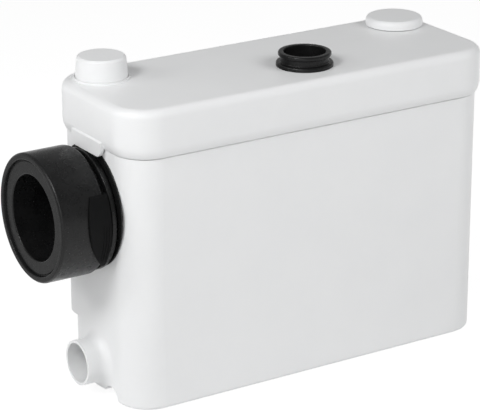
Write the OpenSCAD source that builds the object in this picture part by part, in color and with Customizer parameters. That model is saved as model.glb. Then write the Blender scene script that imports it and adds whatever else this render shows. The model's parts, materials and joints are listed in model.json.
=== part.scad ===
// Macerator toilet pump: a slim free-standing tank with a grinder and pump inside.
// Frame: the origin is the centre of the tank's underside, the soil inlet is at the -X end,
// the front is towards -Y and +Z is up.

/* [Tank] */
// Outside length of the tank
tank_l = 403.6; // [395:0.1:460]
// Outside depth of the tank
tank_w = 145.4; // [143:0.1:170]
// Height of the shoulder under the lid
tank_h = 248; // [246:1:300]
// Plan radius of the tank's corners
corner_r = 32.4; // [28:0.1:40]
// Wall thickness of the tank
wall = 3.5; // [2.5:0.1:4]
// Thickness of the tank's floor
floor_t = 4; // [3:0.1:5]
// Rounding of the edge round the base
base_round = 4; // [2:0.1:6]
// Depth of the skirting board recess in the back
notch_d = 12; // [6:0.5:13]
// Height of the skirting board recess
notch_z = 64.8; // [40:0.2:66]
// Height of the slope above the recess
notch_rise = 19.6; // [8:0.2:24]
// Step in from the tank's wall to its rim
rim_in = 2.2; // [1.5:0.1:3]
// Thickness of the rim
rim_t = 3; // [2:0.1:4]
// Height of the rim above the shoulder
rim_h = 14; // [10:0.5:20]
// Thickness of the shoulder under the rim
shoulder_t = 4; // [3:0.5:8]

/* [Lid] */
// Height of the lid
lid_h = 46.2; // [42:0.1:60]
// Gap of the seam under the lid
seam = 0.8; // [0.5:0.1:2]
// Overhang of the lid past the tank
lid_over = 3.9; // [3:0.1:6]
// Wall thickness of the lid
lid_t = 3.2; // [2.5:0.1:4]
// Thickness of the lid's top
lid_top_t = 3.5; // [2.5:0.1:5]
// Rounding of the lid's top edge
lid_round = 8; // [5:0.5:10]
// How far the lid's lower edge tucks in
lid_tuck = 2.8; // [1.5:0.1:3.2]
// Height over which the lid's lower edge tucks in
lid_tuck_h = 10; // [6:0.5:14]
// Clearance between the lid and the rim
lid_gap = 0.8; // [0.5:0.1:1.2]
// Height of the rib that meets the gasket
lid_rib_h = 4; // [3:0.5:6]
// Thickness of the gasket
gasket_t = 2.7; // [2:0.1:4]
// Width of the snap tongue on the lid's inlet end
tongue_w = 54; // [40:1:60]
// Offset of the tongue from the middle
tongue_y = 3; // [-6:0.5:6]
// How far the tongue hangs below the lid
tongue_drop = 8; // [5:0.5:9]
// How far the tongue reaches up the lid
tongue_rise = 8; // [5:0.5:14]
// How far the tongue stands out of the lid
tongue_out = 1.4; // [0.8:0.1:2]
// Thickness of the tongue
tongue_t = 3.4; // [2.5:0.1:3.6]

/* [Soil inlet] */
// Offset of the inlet behind the middle
inlet_y = 12; // [4:0.5:14]
// Depth of the inlet's axis under the tank's shoulder
inlet_drop = 65.6; // [63:0.1:72]
// Outside radius of the tank's inlet neck
neck_r = 50; // [46:0.5:52]
// Wall thickness of the inlet neck
neck_t = 4; // [3:0.5:5]
// Length of the inlet neck
neck_l = 30; // [26:1:34]
// Outside radius of the rubber sleeve
sleeve_r = 61.4; // [60.5:0.1:63]
// Length of the rubber sleeve
sleeve_l = 60; // [58:0.5:70]
// Radius of the sleeve's bore
sleeve_bore = 41; // [38:0.5:44]
// Length of the sleeve's bore
sleeve_bore_l = 22; // [16:0.5:24]
// Width of the raised rim on the sleeve's end
sleeve_rim = 6; // [4:0.5:8]
// Depth of the face inside the rim
sleeve_dish = 2.4; // [1:0.1:4]
// Rounding of the sleeve's shoulder
shoulder_r = 8; // [5:0.5:8]
// Thickness of the rubber in the sleeve's grooves
groove_t = 3.4; // [2.5:0.1:3.4]
// Height of the sleeve's ridge above its grooves
ridge_h = 4.5; // [2:0.1:4.5]
// Width of the ridge on the sleeve
ridge_w = 5.2; // [4:0.1:5.5]
// Width of the groove between the flange and the ridge
groove_w = 1.4; // [1:0.1:2]
// Radius of the sleeve's flange on the tank's end
sleeve_flange_r = 58.5; // [58:0.1:59]
// Thickness of the sleeve's flange
sleeve_flange_t = 1.4; // [1:0.1:1.5]
// How far the flange's middle lies to the front of the sleeve's axis
sleeve_flange_y = 7.4; // [2:0.1:8]
// How far the flange's middle lies above the sleeve's axis
sleeve_flange_z = 4.4; // [0:0.1:4.6]
// How far the ridge's middle lies to the front of the sleeve's axis
ridge_y = 2.8; // [0:0.1:3]
// Thickness of the sleeve's lining inside the neck
lining_t = 2.5; // [2:0.1:3]
// Width and depth of the groove at the foot of the rim
rim_groove = 1.2; // [0.8:0.1:2]
// Width of the clip's groove
clip_groove = 4.1; // [4:0.1:6]
// Angle of the clip round the sleeve
clip_angle = 244; // [220:1:256]
// Thickness of the clip's pad
pad_t = 2; // [1.5:0.1:3]
// Width of the clip's pad along the sleeve
pad_w = 23; // [15:0.5:26]
// Reach of the pad's tip below the inlet's axis
pad_drop = 42; // [30:1:46]
// Radius of the pad's curved edge
pad_edge = 65; // [58:1:80]
// Height of the pad's widest place above the inlet's axis
pad_mid = 5; // [0:1:12]
// Angle by which the pad stops short of the clip's upper end
pad_back = 2; // [1:0.5:6]

/* [Side inlet] */
// Height of the side inlet's axis
spigot_z = 33; // [31:0.5:36]
// Outside radius of the side inlet
spigot_r = 21.9; // [19:0.1:23]
// Wall thickness of the side inlet
spigot_t = 2.6; // [2:0.1:4]
// Length of the side inlet
spigot_l = 21.5; // [16:0.5:30]
// Fillet at the root of the side inlet
spigot_fillet = 9; // [5:0.5:10]
// Depth of the recess under the inlet end
toe_d = 16; // [10:0.5:18]
// Height of the recess on both sides of the side inlet
toe_h = 13; // [9:0.5:13]
// Height of the recess below the side inlet
toe_mid = 6.2; // [4:0.1:6.4]
// Half the width of the recess
toe_w = 39; // [34:0.5:40]
// How far the flap laps over the opening
flap_lap = 3.4; // [2:0.1:4]
// Thickness of the flap
flap_t = 2.5; // [2:0.1:3]
// Radius of the flap's knuckle
knuckle_r = 3; // [2.6:0.1:3.4]
// Radius of the hinge pins
pin_r = 1.5; // [1:0.1:1.8]
// Half the width between the hinge ears
ear_y = 16; // [12:0.5:20]
// Thickness of each hinge ear
ear_t = 4; // [3:0.5:6]

/* [Lid fittings] */
// Grommet's distance along the length
grommet_x = 15; // [10:0.5:20]
// Grommet's distance in front of the middle
grommet_y = -27; // [-30:0.5:-24]
// Radius of the grommet's bore
grommet_bore = 20.3; // [19:0.1:21]
// Radius of the grommet's waist
grommet_waist = 23.2; // [22.8:0.1:24]
// Radius of the grommet's upper lip
grommet_lip = 25.5; // [25:0.1:27]
// Radius of the grommet's lower flange
grommet_flange = 27.5; // [26:0.1:29]
// Height of the grommet above the lid
grommet_h = 14; // [12:0.5:16]
// Thickness of the grommet's lips
grommet_lip_t = 4; // [3:0.1:4.5]
// Shift of the vent along the length from the centre of the lid's corner
vent_x = 1.9; // [0:0.1:3]
// Shift of the vent to the back from the centre of the lid's corner
vent_y = 1.2; // [0:0.1:2]
// Radius of the vent cap at its foot
vent_r = 25; // [23:0.1:26]
// Radius of the vent cap under its rim
vent_top_r = 23.4; // [22:0.1:24]
// Height of the vent cap
vent_h = 22; // [18:0.5:26]
// Bevel round the top of the vent cap
vent_bevel = 2; // [1:0.1:3]
// Wall thickness of the two caps
cap_t = 2.4; // [1.6:0.1:3]
// Radius of the vent's neck
vent_neck_r = 18; // [16:0.5:19]
// Height of the vent's neck
vent_neck_h = 12; // [8:0.5:14]
// Width of the ring round the vent cap's foot
vent_ring = 1.8; // [1:0.1:2.4]
// Height of the ring round the vent cap's foot
vent_ring_h = 2; // [1:0.1:3]
// Shift of the service cap along the length from the centre of the lid's corner
service_x = 1.1; // [0:0.1:2]
// Shift of the service cap to the back from the centre of the lid's corner
service_y = 2.1; // [0:0.1:2.5]
// Radius of the service cap
cap_r = 28.7; // [26:0.1:29.5]
// Height of the service cap
cap_h = 7.8; // [6:0.1:10]
// Width of the service cap's bevelled edge
cap_bevel = 4; // [2:0.1:5]
// Radius of the service opening
service_r = 24; // [22:0.5:25]
// Depth of the service cap's plug
plug_h = 9; // [6:0.5:12]
// Thickness of the service cap's seal
cap_seal_t = 1.2; // [0.8:0.1:2]

/* [Grinder and pump] */
// Gap for waste between the inlet wall and the motor
fall_gap = 73; // [66:1:80]
// Motor's distance in front of the middle
motor_y = -2; // [-8:0.5:-1]
// Height of the rubber feet under the pump
foot_h = 4.5; // [3:0.5:8]
// Radius of the rubber feet
foot_r = 9; // [6:0.5:11]
// Inside radius of the pump chamber
volute_r = 39; // [38:0.5:40]
// Wall thickness of the pump chamber
volute_t = 5; // [4:0.5:6]
// Height of the pump chamber
volute_h = 38; // [36:0.5:44]
// Thickness of the pump's floor and cover
plate_t = 3; // [2.5:0.1:4]
// Radius of the suction eye
eye_r = 18; // [15:0.5:20]
// Radius of the impeller
impeller_r = 34; // [30:0.5:35]
// Height of the impeller's vanes
vane_h = 17; // [12:0.5:18]
// Thickness of the impeller's vanes
vane_t = 3; // [2:0.1:4]
// Number of vanes
vane_n = 5; // [3:1:7]
// Lean of the vanes
vane_lean = 30; // [15:1:40]
// Radius of the shaft
shaft_r = 6; // [5:0.1:7]
// Gap under the basket for suction
suction_gap = 7; // [5:0.5:10]
// Outside radius of the basket
basket_r = 54; // [54:0.5:55]
// Wall thickness of the basket
basket_t = 3; // [2:0.1:4]
// Height of the basket
basket_h = 70; // [66:1:76]
// Number of slots round the basket
slot_n = 24; // [16:2:30]
// Width of the slots
slot_w = 5; // [3:0.5:6]
// Height of the slots
slot_h = 27; // [20:1:28]
// Height of the chute's lip above the basket's underside
chute_drop = 42; // [38:1:44]
// Width of the chute's mouth in the basket
chute_w = 60; // [50:1:62]
// Height of the chute's sides
chute_h = 22; // [16:1:24]
// Reach of the cutter blade
blade_r = 42; // [36:0.5:45]
// Thickness of the cutter blade
blade_t = 3; // [2:0.1:4]
// Width of the cutter blade
blade_w = 18; // [14:0.5:22]
// Height of the turned up blade tips
blade_tip_h = 10; // [6:0.5:14]
// Height of the blade above the basket's floor
blade_z = 8; // [6:0.5:12]
// Radius of the collars that hold the blade
collar_r = 12; // [9:0.5:14]
// Height of each blade collar
collar_h = 5; // [4:0.5:6]

/* [Motor] */
// Outside radius of the motor can
motor_r = 48; // [48:0.5:50]
// Wall thickness of the motor can
can_t = 2.8; // [2:0.1:4]
// Height of the motor can
can_h = 90; // [86:1:96]
// Height of the motor's lower end shield
shield_h = 15; // [14:0.5:18]
// Height of the motor's top cap
motor_cap_h = 16; // [15:0.5:20]
// Thickness of the motor's flange
flange_t = 6; // [4:0.5:8]
// Radius of the motor's flange and its plate
motor_flange_r = 58; // [57.5:0.5:59]
// Radius of the screw circle
screw_circle = 54; // [53.6:0.1:54.1]
// Thickness of the plate under the motor
motor_plate_t = 5; // [4:0.5:6]
// Radius of the rotor
rotor_r = 28; // [24:0.5:30]
// Air gap round the rotor
air_gap = 0.6; // [0.4:0.1:1]
// Height of the stator's and the rotor's core
core_h = 60; // [50:1:62]
// Height of the winding heads
winding_h = 11; // [8:0.5:12]
// Outside radius of the bearings
bearing_r = 16; // [14:0.5:18]
// Height of the bearings
bearing_h = 10; // [8:0.5:11]
// Outside radius of the shaft seal
seal_r = 13; // [11:0.5:14]

/* [Discharge] */
// Bore radius of the discharge
discharge_bore = 11; // [9:0.5:12]
// Wall thickness of the discharge pipes
pipe_t = 2.5; // [2:0.1:3]
// Depth of the check valve's floor under the tank's shoulder
valve_drop = 98; // [90:1:115]
// Inside radius of the check valve
valve_r = 17.5; // [16.5:0.5:18]
// Height of the check valve
valve_h = 50; // [46:1:60]
// Thickness of the check valve's floor
valve_floor = 6; // [4:0.5:8]
// Depth of the pipe sockets
socket_h = 14; // [10:0.5:18]
// Gap between the outlet pipe and the lid's grommet
outlet_gap = 2; // [1:0.5:6]

/* [Pressure switch] */
// Radius of the pressure chamber
chamber_r = 21; // [18:0.5:21.5]
// Wall thickness of the pressure chamber
chamber_t = 2.5; // [2:0.1:3]
// Height of the openings round the pressure chamber's foot
chamber_mouth = 8; // [6:0.5:14]
// Depth of the pressure chamber's top under the tank's shoulder
chamber_drop = 38; // [34:1:58]
// Radius of the switch housing
switch_r = 26; // [25:0.5:27]
// Height of the switch housing
switch_h = 38; // [37:0.5:42]
// Thickness of the diaphragm
diaphragm_t = 1.5; // [1:0.1:2]
// Radius of the plunger
plunger_r = 5; // [4:0.1:6]
// Travel of the plunger
plunger_travel = 2; // [1:0.1:2]
// Distance from the lever's pivot to the plunger
lever_arm = 14; // [12:0.5:16]
// Length of the lever past the plunger
lever_reach = 8; // [5:0.5:9]

/* [Electrics] */
// Length of the terminal box
box_l = 66; // [50:1:70]
// Depth of the terminal box
box_w = 40; // [34:1:44]
// Height of the terminal box
box_h = 50; // [40:1:54]
// Wall thickness of the terminal box
box_t = 2.4; // [2:0.1:3]
// Depth of the terminal box's shelf under the tank's shoulder
shelf_drop = 63; // [58:1:78]
// Radius of the run capacitor
capacitor_r = 17; // [14:0.5:18]
// Height of the run capacitor
capacitor_h = 66; // [50:1:70]
// Depth of the run capacitor's bracket under the terminal box's shelf
capacitor_drop = 47; // [45:1:70]
// Distance of the cord grommet along the length
cord_x = 120; // [60:1:140]
// Depth of the cord grommet under the tank's shoulder
cord_drop = 26; // [18:1:48]
// Radius of the hole for the cord
cord_hole = 4.5; // [3:0.1:5]
// Radius of the cord grommet's neck
cord_neck = 8; // [7:0.1:9]
// Radius of the cord grommet's flanges
cord_flange = 11.5; // [10:0.1:13]
// Thickness of the cord grommet's flanges
cord_flange_t = 2.6; // [2:0.1:3]
// Radius of the motor's lead
lead_r = 3; // [2:0.1:4]

/* [Fasteners and fits] */
// Radius of the screws
screw_r = 2; // [1.5:0.1:2.2]
// Radius of the screw heads
head_r = 3.8; // [3:0.1:4]
// Height of the screw heads
head_h = 2.6; // [2:0.1:3]
// Radial clearance of turning fits
running = 0.05; // [0.02:0.01:0.08]
// Radial clearance of pieces that are pushed together
push = 0.1; // [0.05:0.05:0.2]
// Gap between pieces that move past each other
clear = 0.3; // [0.2:0.05:0.4]

/* [Hidden] */
$fn = 64;

// Overshoot of cutting shapes
cut = 1;
// Steps of a rounded outline
steps = 8;
// Turns of the screws and the feet round the motor's axis
screw_turn = 45;
foot_turn = 60;

// Heights of the lid and the rim
lid_z = tank_h + seam;
lid_top = lid_z + lid_h;
lid_under = lid_top - lid_top_t;
rim_z = tank_h + rim_h;
rib_z = rim_z + gasket_t + clear;
// Plan of the tank and the lid
end_x = tank_l / 2;
back_y = tank_w / 2;
lid_l = tank_l + 2 * lid_over;
lid_w = tank_w + 2 * lid_over;
lid_r = corner_r + lid_over;
low_w = tank_w - notch_d;
slope_z = notch_z + notch_rise;
inner_r = corner_r - wall;
rim_r = corner_r - rim_in;
rim_inner = rim_in + rim_t;
skirt_r = rim_r + lid_gap;
inner_x = end_x - wall;
inner_front = back_y - wall;
// Heights that hang from the tank's shoulder
inlet_z = tank_h - inlet_drop;
valve_z = tank_h - valve_drop;
chamber_top = tank_h - chamber_drop;
shelf_z = tank_h - shelf_drop;
capacitor_z = shelf_z - capacitor_drop;
cord_z = tank_h - cord_drop;
// Rings of the sleeve, counted outwards from the tank
groove_r = neck_r + push + groove_t;
ridge_r = groove_r + ridge_h;
ridge_at = sleeve_flange_t + groove_w;
clip_at = ridge_at + ridge_w;
shoulder_at = clip_at + clip_groove;
face_at = sleeve_l - sleeve_dish;
lining_r = neck_r - neck_t - push;
// Places of the lid's fittings
corner_x = lid_l / 2 - lid_r;
corner_y = lid_w / 2 - lid_r;
vent_at = [-corner_x + vent_x, corner_y + vent_y];
service_at = [corner_x + service_x, corner_y + service_y];
grommet_at = [grommet_x, grommet_y];
cap_z = lid_top + cap_seal_t + clear;
filter_h = vent_neck_h / 2;
filter_r = vent_neck_r - cap_t / 2;
// Side inlet's flap
flap_r = spigot_r - spigot_t + flap_lap;
flap_x = -inner_x + clear;
hinge_x = flap_x + knuckle_r;
hinge_z = spigot_z + flap_r + knuckle_r;
// Stack of the pump and the motor
motor_x = -inner_x + fall_gap + motor_r;
volute_z = floor_t + foot_h;
cover_z = volute_z + volute_h;
basket_z = cover_z + plate_t + suction_gap;
basket_floor = basket_z + basket_t;
chute_lip = basket_z + chute_drop;
chute_slope = atan2(inlet_z - neck_r + neck_t - chute_lip, fall_gap + motor_r - basket_r + basket_t);
chute_l = fall_gap / cos(chute_slope) + chute_h;
cutter_z = basket_floor + blade_z;
motor_plate_z = basket_z + basket_h;
shield_z = motor_plate_z + motor_plate_t;
can_z = shield_z + shield_h;
motor_cap_z = can_z + can_h;
core_z = can_z + (can_h - core_h) / 2;
stator_r = motor_r - can_t - push;
lower_bearing_z = can_z - bearing_h - clear;
upper_bearing_z = motor_cap_z + clear;
shaft_top = upper_bearing_z + bearing_h - clear;
impeller_z = volute_z + plate_t + foot_h;
pump_circle = volute_r + volute_t / 2;
// Discharge
pipe_r = discharge_bore + pipe_t;
outlet_z = volute_z + volute_h / 2;
riser_z = outlet_z + pipe_r + pipe_t;
valve_out = valve_r + pipe_t;
valve_seat = valve_z + valve_floor;
outlet_top = lid_under - grommet_lip_t - outlet_gap;
check_r = discharge_bore + flap_t;
check_hinge_y = grommet_y + check_r - pin_r / 3;
check_z = valve_seat + clear + push;
check_hinge_z = check_z + flap_t + pin_r + clear;
// Pressure switch
chamber_at = [inner_x - switch_r - 4 * wall / 3, back_y - wall - notch_d - chamber_r - wall];
switch_z = chamber_top + diaphragm_t;
bridge_z = switch_z + switch_h / 3;
plunger_z = switch_z + clear;
plunger_top = bridge_z + plate_t + plunger_r;
lever_z = plunger_top + clear + push;
// Electrics
box_x = inner_x - inner_r - box_l / 2;
box_y = -inner_front + clear + box_w / 2;
shelf_t = 2 * wall;
capacitor_at = [box_x - box_l / 2 - capacitor_r - 2 * wall, -inner_front + clear + capacitor_r];
// Route of the motor's lead from the terminal box to the motor's cap
lead_start = [box_x - box_l / 2 + box_t, box_y + box_w / 4, shelf_z + box_h * 0.8];
lead_end = [motor_x + motor_r - can_t, motor_y, motor_cap_z + motor_cap_h / 2];
lead_rise = 12;
lead_side = 16;

WHITE = [0.93, 0.93, 0.94];
RUBBER = [0.11, 0.11, 0.115];
BLACK = [0.14, 0.14, 0.15];
GREY = [0.45, 0.46, 0.48];
DARK = [0.24, 0.25, 0.27];
STEEL = [0.72, 0.73, 0.75];
COPPER = [0.66, 0.38, 0.2];

// A case with rounded corners: the child is the profile outwards from a corner's axis.
module swept_case(l, w, r, z0, z1) {
    mid_l = l - 2 * r;
    mid_w = w - 2 * r;
    translate([-mid_l / 2, -mid_w / 2, z0])
        cube([mid_l, mid_w, z1 - z0]);
    for (i = [0 : 3]) {
        sx = i == 0 || i == 3 ? 1 : -1;
        sy = i < 2 ? 1 : -1;
        translate([sx * mid_l / 2, sy * mid_w / 2, 0]) {
            rotate(90 * i)
                rotate_extrude(angle = 90)
                    children();
            rotate([90, 0, 90 * i])
                linear_extrude(i % 2 == 0 ? mid_w : mid_l)
                    children();
        }
    }
}

// A case with straight sides from z0 to z1.
module plain_case(l, w, r, z0, z1) {
    swept_case(l, w, r, z0, z1)
        translate([0, z0])
            square([r, z1 - z0]);
}

// The slope between the recessed foot of the tank and its full depth, less an inset.
module slope(inset) {
    intersection() {
        plain_case(tank_l - 2 * inset, tank_w - 2 * inset, corner_r - inset, notch_z, slope_z);
        translate([-end_x, 0, 0])
            rotate([90, 0, 90])
                linear_extrude(tank_l)
                    polygon([
                        [-back_y, notch_z], [back_y - inset - notch_d, notch_z],
                        [back_y - inset, slope_z], [-back_y, slope_z]]);
    }
}

// A tube that stands on z0.
module tube(outer, inner, z0, z1) {
    translate([0, 0, z0])
        difference() {
            cylinder(r = outer, h = z1 - z0);
            translate([0, 0, -cut])
                cylinder(r = inner, h = z1 - z0 + 2 * cut);
        }
}

// Children turned so that +Z points out of the tank's inlet end, from the wall's outer face.
module at_inlet(y, z) {
    translate([-end_x, y, z])
        rotate([0, -90, 0])
            children();
}

// Copies of the children on a circle.
module around(n, r, start = 0) {
    for (i = [0 : n - 1])
        rotate(start + 360 * i / n)
            translate([r, 0, 0])
                children();
}

module at_motor() {
    translate([motor_x, motor_y, 0])
        children();
}

// A round screw with its head on top, from the head's seat downwards.
module screw(length) {
    cylinder(r = head_r, h = head_h);
    translate([0, 0, -length])
        cylinder(r = screw_r, h = length);
}

module screw_hole(length) {
    translate([0, 0, -length])
        cylinder(r = screw_r + push, h = length + cut);
}

module tank_shell() {
    difference() {
        union() {
            translate([0, -notch_d / 2, 0])
                swept_case(tank_l, low_w, corner_r, 0, notch_z)
                    union() {
                        square([corner_r - base_round, notch_z]);
                        translate([0, base_round])
                            square([corner_r, notch_z - base_round]);
                        translate([corner_r - base_round, base_round])
                            circle(base_round);
                    }
            slope(0);
            plain_case(tank_l, tank_w, corner_r, slope_z, tank_h);
            plain_case(tank_l - 2 * rim_in, tank_w - 2 * rim_in, rim_r, tank_h, rim_z);
            at_inlet(inlet_y, inlet_z)
                translate([0, 0, -corner_r])
                    cylinder(r = neck_r, h = corner_r + neck_l);
            at_inlet(0, spigot_z) {
                translate([0, 0, -wall])
                    cylinder(r = spigot_r, h = wall + spigot_l);
                spigot_root();
            }
        }
        toe(0);
        difference() {
            translate([0, -notch_d / 2, 0])
                plain_case(tank_l - 2 * wall, low_w - 2 * wall, inner_r, floor_t, notch_z);
            toe(wall);
        }
        slope(wall);
        plain_case(tank_l - 2 * wall, tank_w - 2 * wall, inner_r, slope_z, tank_h - shoulder_t);
        plain_case(tank_l - 2 * rim_inner, tank_w - 2 * rim_inner, corner_r - rim_inner,
                   tank_h - shoulder_t, rim_z + cut);
        at_inlet(inlet_y, inlet_z)
            translate([0, 0, -corner_r - cut])
                cylinder(r = neck_r - neck_t, h = corner_r + neck_l + 2 * cut);
        at_inlet(0, spigot_z)
            translate([0, 0, -wall - cut])
                cylinder(r = spigot_r - spigot_t, h = wall + spigot_l + 2 * cut);
        translate([cord_x, back_y + cut, cord_z])
            rotate([90, 0, 0])
                cylinder(r = cord_neck + push, h = wall + 2 * cut);
    }
}

// The recess under the inlet end, larger by an inset, with an arch on each side of the side inlet.
module toe(inset) {
    translate([-end_x - spigot_fillet - cut, 0, 0])
        rotate([90, 0, 90])
            linear_extrude(spigot_fillet + cut + toe_d + inset) {
                translate([toe_h - toe_w, -toe_h])
                    square([2 * (toe_w - toe_h), toe_h + toe_mid + inset]);
                for (side = [-1, 1])
                    translate([side * (toe_w - toe_h), 0])
                        circle(toe_h + inset);
            }
}

// The hollow fillet where the side inlet leaves the wall.
module spigot_root() {
    rotate_extrude()
        difference() {
            translate([0, -wall / 2])
                square([spigot_r + spigot_fillet, spigot_fillet + wall / 2]);
            translate([spigot_r + spigot_fillet, spigot_fillet])
                circle(spigot_fillet);
        }
}

// An ear of the side flap's hinge, standing on the inlet end's inner face.
module flap_ear(y) {
    difference() {
        translate([-inner_x - wall / 2, y, hinge_z - knuckle_r])
            cube([hinge_x + inner_x + knuckle_r + wall / 2, ear_t, 2 * knuckle_r]);
        translate([hinge_x, y - cut, hinge_z])
            rotate([-90, 0, 0])
                cylinder(r = pin_r + running, h = ear_t + 2 * cut);
    }
}

module tank() {
    color(WHITE) {
        tank_shell();
        flap_ear(-ear_y - ear_t);
        flap_ear(ear_y);
        // Ribs that hold the pressure chamber to the end wall
        for (z = [chamber_top / 3, chamber_top * 2 / 3])
            translate([chamber_at[0] + chamber_r + clear, chamber_at[1] - wall, z])
                cube([inner_x - chamber_at[0] - chamber_r - clear + wall / 2, 2 * wall, 4 * wall]);
        // Shelf brackets under the terminal box and the capacitor
        for (p = [[box_x - box_l / 3, shelf_z], [box_x + box_l / 3, shelf_z], [capacitor_at[0], capacitor_z]])
            translate([p[0] - wall, -inner_front - wall / 2, p[1] - shelf_t])
                cube([2 * wall, box_w * 2 / 3, shelf_t]);
    }
}

// Outline of the lid from a corner's axis outwards.
module lid_profile() {
    edge = lid_r - lid_round;
    translate([0, lid_z])
        square([edge, lid_h]);
    translate([0, lid_z + lid_tuck_h])
        square([lid_r, lid_h - lid_tuck_h - lid_round]);
    translate([edge, lid_top - lid_round])
        circle(lid_round);
    polygon(concat(
        [[0, lid_z], [0, lid_z + lid_tuck_h]],
        [for (i = [0 : steps]) let (t = i / steps)
            [lid_r - lid_tuck * t * t, lid_z + lid_tuck_h * (1 - t)]]));
}

// Hollow of the lid from a corner's axis outwards.
module lid_hollow() {
    inside = lid_r - lid_t;
    rib_in = corner_r - rim_inner;
    soft = lid_round - lid_t;
    polygon(concat(
        [[0, lid_z - cut], [skirt_r, lid_z - cut], [skirt_r, rib_z], [rib_in, rib_z],
         [rib_in, rib_z + lid_rib_h], [inside, rib_z + lid_rib_h]],
        [for (i = [0 : steps]) let (a = 90 * i / steps)
            [inside - soft + soft * cos(a), lid_under - soft + soft * sin(a)]],
        [[0, lid_under]]));
}

// The snap tongue in the middle of the lid's inlet end, bevelled along its top.
module lid_tongue() {
    round_r = tongue_drop;
    translate([-lid_l / 2 - tongue_out, tongue_y, lid_z])
        rotate([90, 0, 90])
            difference() {
                linear_extrude(tongue_t)
                    union() {
                        translate([-tongue_w / 2, 0])
                            square([tongue_w, tongue_rise]);
                        translate([-tongue_w / 2 + round_r, -tongue_drop])
                            square([tongue_w - 2 * round_r, tongue_drop]);
                        for (side = [-1, 1])
                            translate([side * (tongue_w / 2 - round_r), 0])
                                circle(round_r);
                    }
                translate([-tongue_w / 2 - cut, tongue_rise, 0])
                    rotate([45, 0, 0])
                        translate([0, -tongue_out, -tongue_out])
                            cube([tongue_w + 2 * cut, 2 * tongue_out, 2 * tongue_out]);
            }
}

module lid() {
    color(WHITE)
        difference() {
            union() {
                difference() {
                    swept_case(lid_l, lid_w, lid_r, lid_z, lid_top)
                        lid_profile();
                    swept_case(lid_l - 2 * (lid_r - skirt_r), lid_w - 2 * (lid_r - skirt_r), skirt_r,
                               lid_z - cut, lid_under)
                        lid_hollow();
                }
                lid_tongue();
                translate(vent_at) {
                    tube(vent_r + clear + vent_ring, vent_r + clear, lid_under, lid_top + vent_ring_h);
                    translate([0, 0, lid_under])
                        cylinder(r = vent_neck_r, h = lid_top_t + vent_neck_h);
                }
            }
            translate([grommet_x, grommet_y, lid_under - cut])
                cylinder(r = grommet_waist - push, h = lid_top_t + 2 * cut);
            translate([vent_at[0], vent_at[1], lid_under - cut])
                cylinder(r = vent_neck_r - cap_t, h = lid_top_t + vent_neck_h + 2 * cut);
            translate([vent_at[0], vent_at[1], lid_top + vent_neck_h - filter_h])
                cylinder(r = filter_r, h = filter_h + cut);
            translate([service_at[0], service_at[1], lid_under - cut])
                cylinder(r = service_r, h = lid_top_t + 2 * cut);
        }
}

module lid_gasket() {
    color(DARK)
        difference() {
            plain_case(tank_l - 2 * rim_in, tank_w - 2 * rim_in, rim_r, rim_z, rim_z + gasket_t);
            plain_case(tank_l - 2 * rim_inner, tank_w - 2 * rim_inner, corner_r - rim_inner,
                       rim_z - cut, rim_z + gasket_t + cut);
        }
}

// A collar of the sleeve, whose rim lies above and in front of the sleeve's axis.
module collar(r, up, front, from, to) {
    difference() {
        translate([up, -front, from])
            cylinder(r = r, h = to - from);
        translate([0, 0, from - cut])
            cylinder(r = neck_r + groove_t / 2, h = to - from + 2 * cut);
    }
}

module soil_sleeve() {
    bore_end = face_at - sleeve_bore_l;
    lip = sleeve_rim / 4;
    rim_foot = sleeve_r - sleeve_rim - lip / 2;
    lined = lining_r - lining_t;
    color(RUBBER)
        at_inlet(inlet_y, inlet_z) {
            collar(sleeve_flange_r, sleeve_flange_z, sleeve_flange_y, 0, sleeve_flange_t);
            collar(ridge_r, 0, ridge_y, ridge_at, clip_at);
            rotate_extrude()
                polygon(concat(
                    [[neck_r + push, 0], [groove_r, 0], [groove_r, shoulder_at]],
                    [for (i = [1 : steps]) let (a = 90 * i / steps)
                        [sleeve_r - shoulder_r * (1 - sin(a)), shoulder_at + shoulder_r * (1 - cos(a))]],
                    [[sleeve_r, sleeve_l - lip], [sleeve_r - lip, sleeve_l],
                     [sleeve_r - sleeve_rim, sleeve_l], [rim_foot, face_at - rim_groove],
                     [rim_foot - rim_groove, face_at - rim_groove], [rim_foot - rim_groove, face_at],
                     [sleeve_bore, face_at], [sleeve_bore, bore_end],
                     [lined, bore_end - neck_t / 2], [lined, sleeve_flange_t],
                     [lining_r, sleeve_flange_t], [lining_r, neck_l + clear],
                     [neck_r + push, neck_l + clear]]));
        }
}

// The clip in the sleeve's groove, with a curved pad on its front leg.
module sleeve_clip() {
    groove_in = groove_r + push;
    outer_r = sleeve_r + clear;
    start = clip_at + clear;
    end = shoulder_at - clear;
    pad_at = (start + end) / 2;
    pad_end = pad_at + pad_w;
    color(BLACK)
        at_inlet(inlet_y, inlet_z) {
            rotate(180 - clip_angle / 2)
                rotate_extrude(angle = clip_angle)
                    translate([groove_in, start])
                        square([ridge_r - groove_in, end - start]);
            intersection() {
                rotate(180)
                    rotate_extrude(angle = clip_angle / 2 - pad_back)
                        polygon([
                            [ridge_r - pad_t, pad_at], [outer_r + pad_t, pad_at],
                            [outer_r + pad_t, pad_end], [outer_r, pad_end],
                            [outer_r, end - push], [ridge_r - pad_t, end - push]]);
                translate([pad_mid, 0, pad_end - pad_edge])
                    rotate([90, 0, 0])
                        cylinder(r = pad_edge, h = 2 * sleeve_r);
                translate([-pad_drop, -2 * sleeve_r, 0])
                    cube([2 * sleeve_r, 2 * sleeve_r, sleeve_l]);
            }
        }
}

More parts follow.
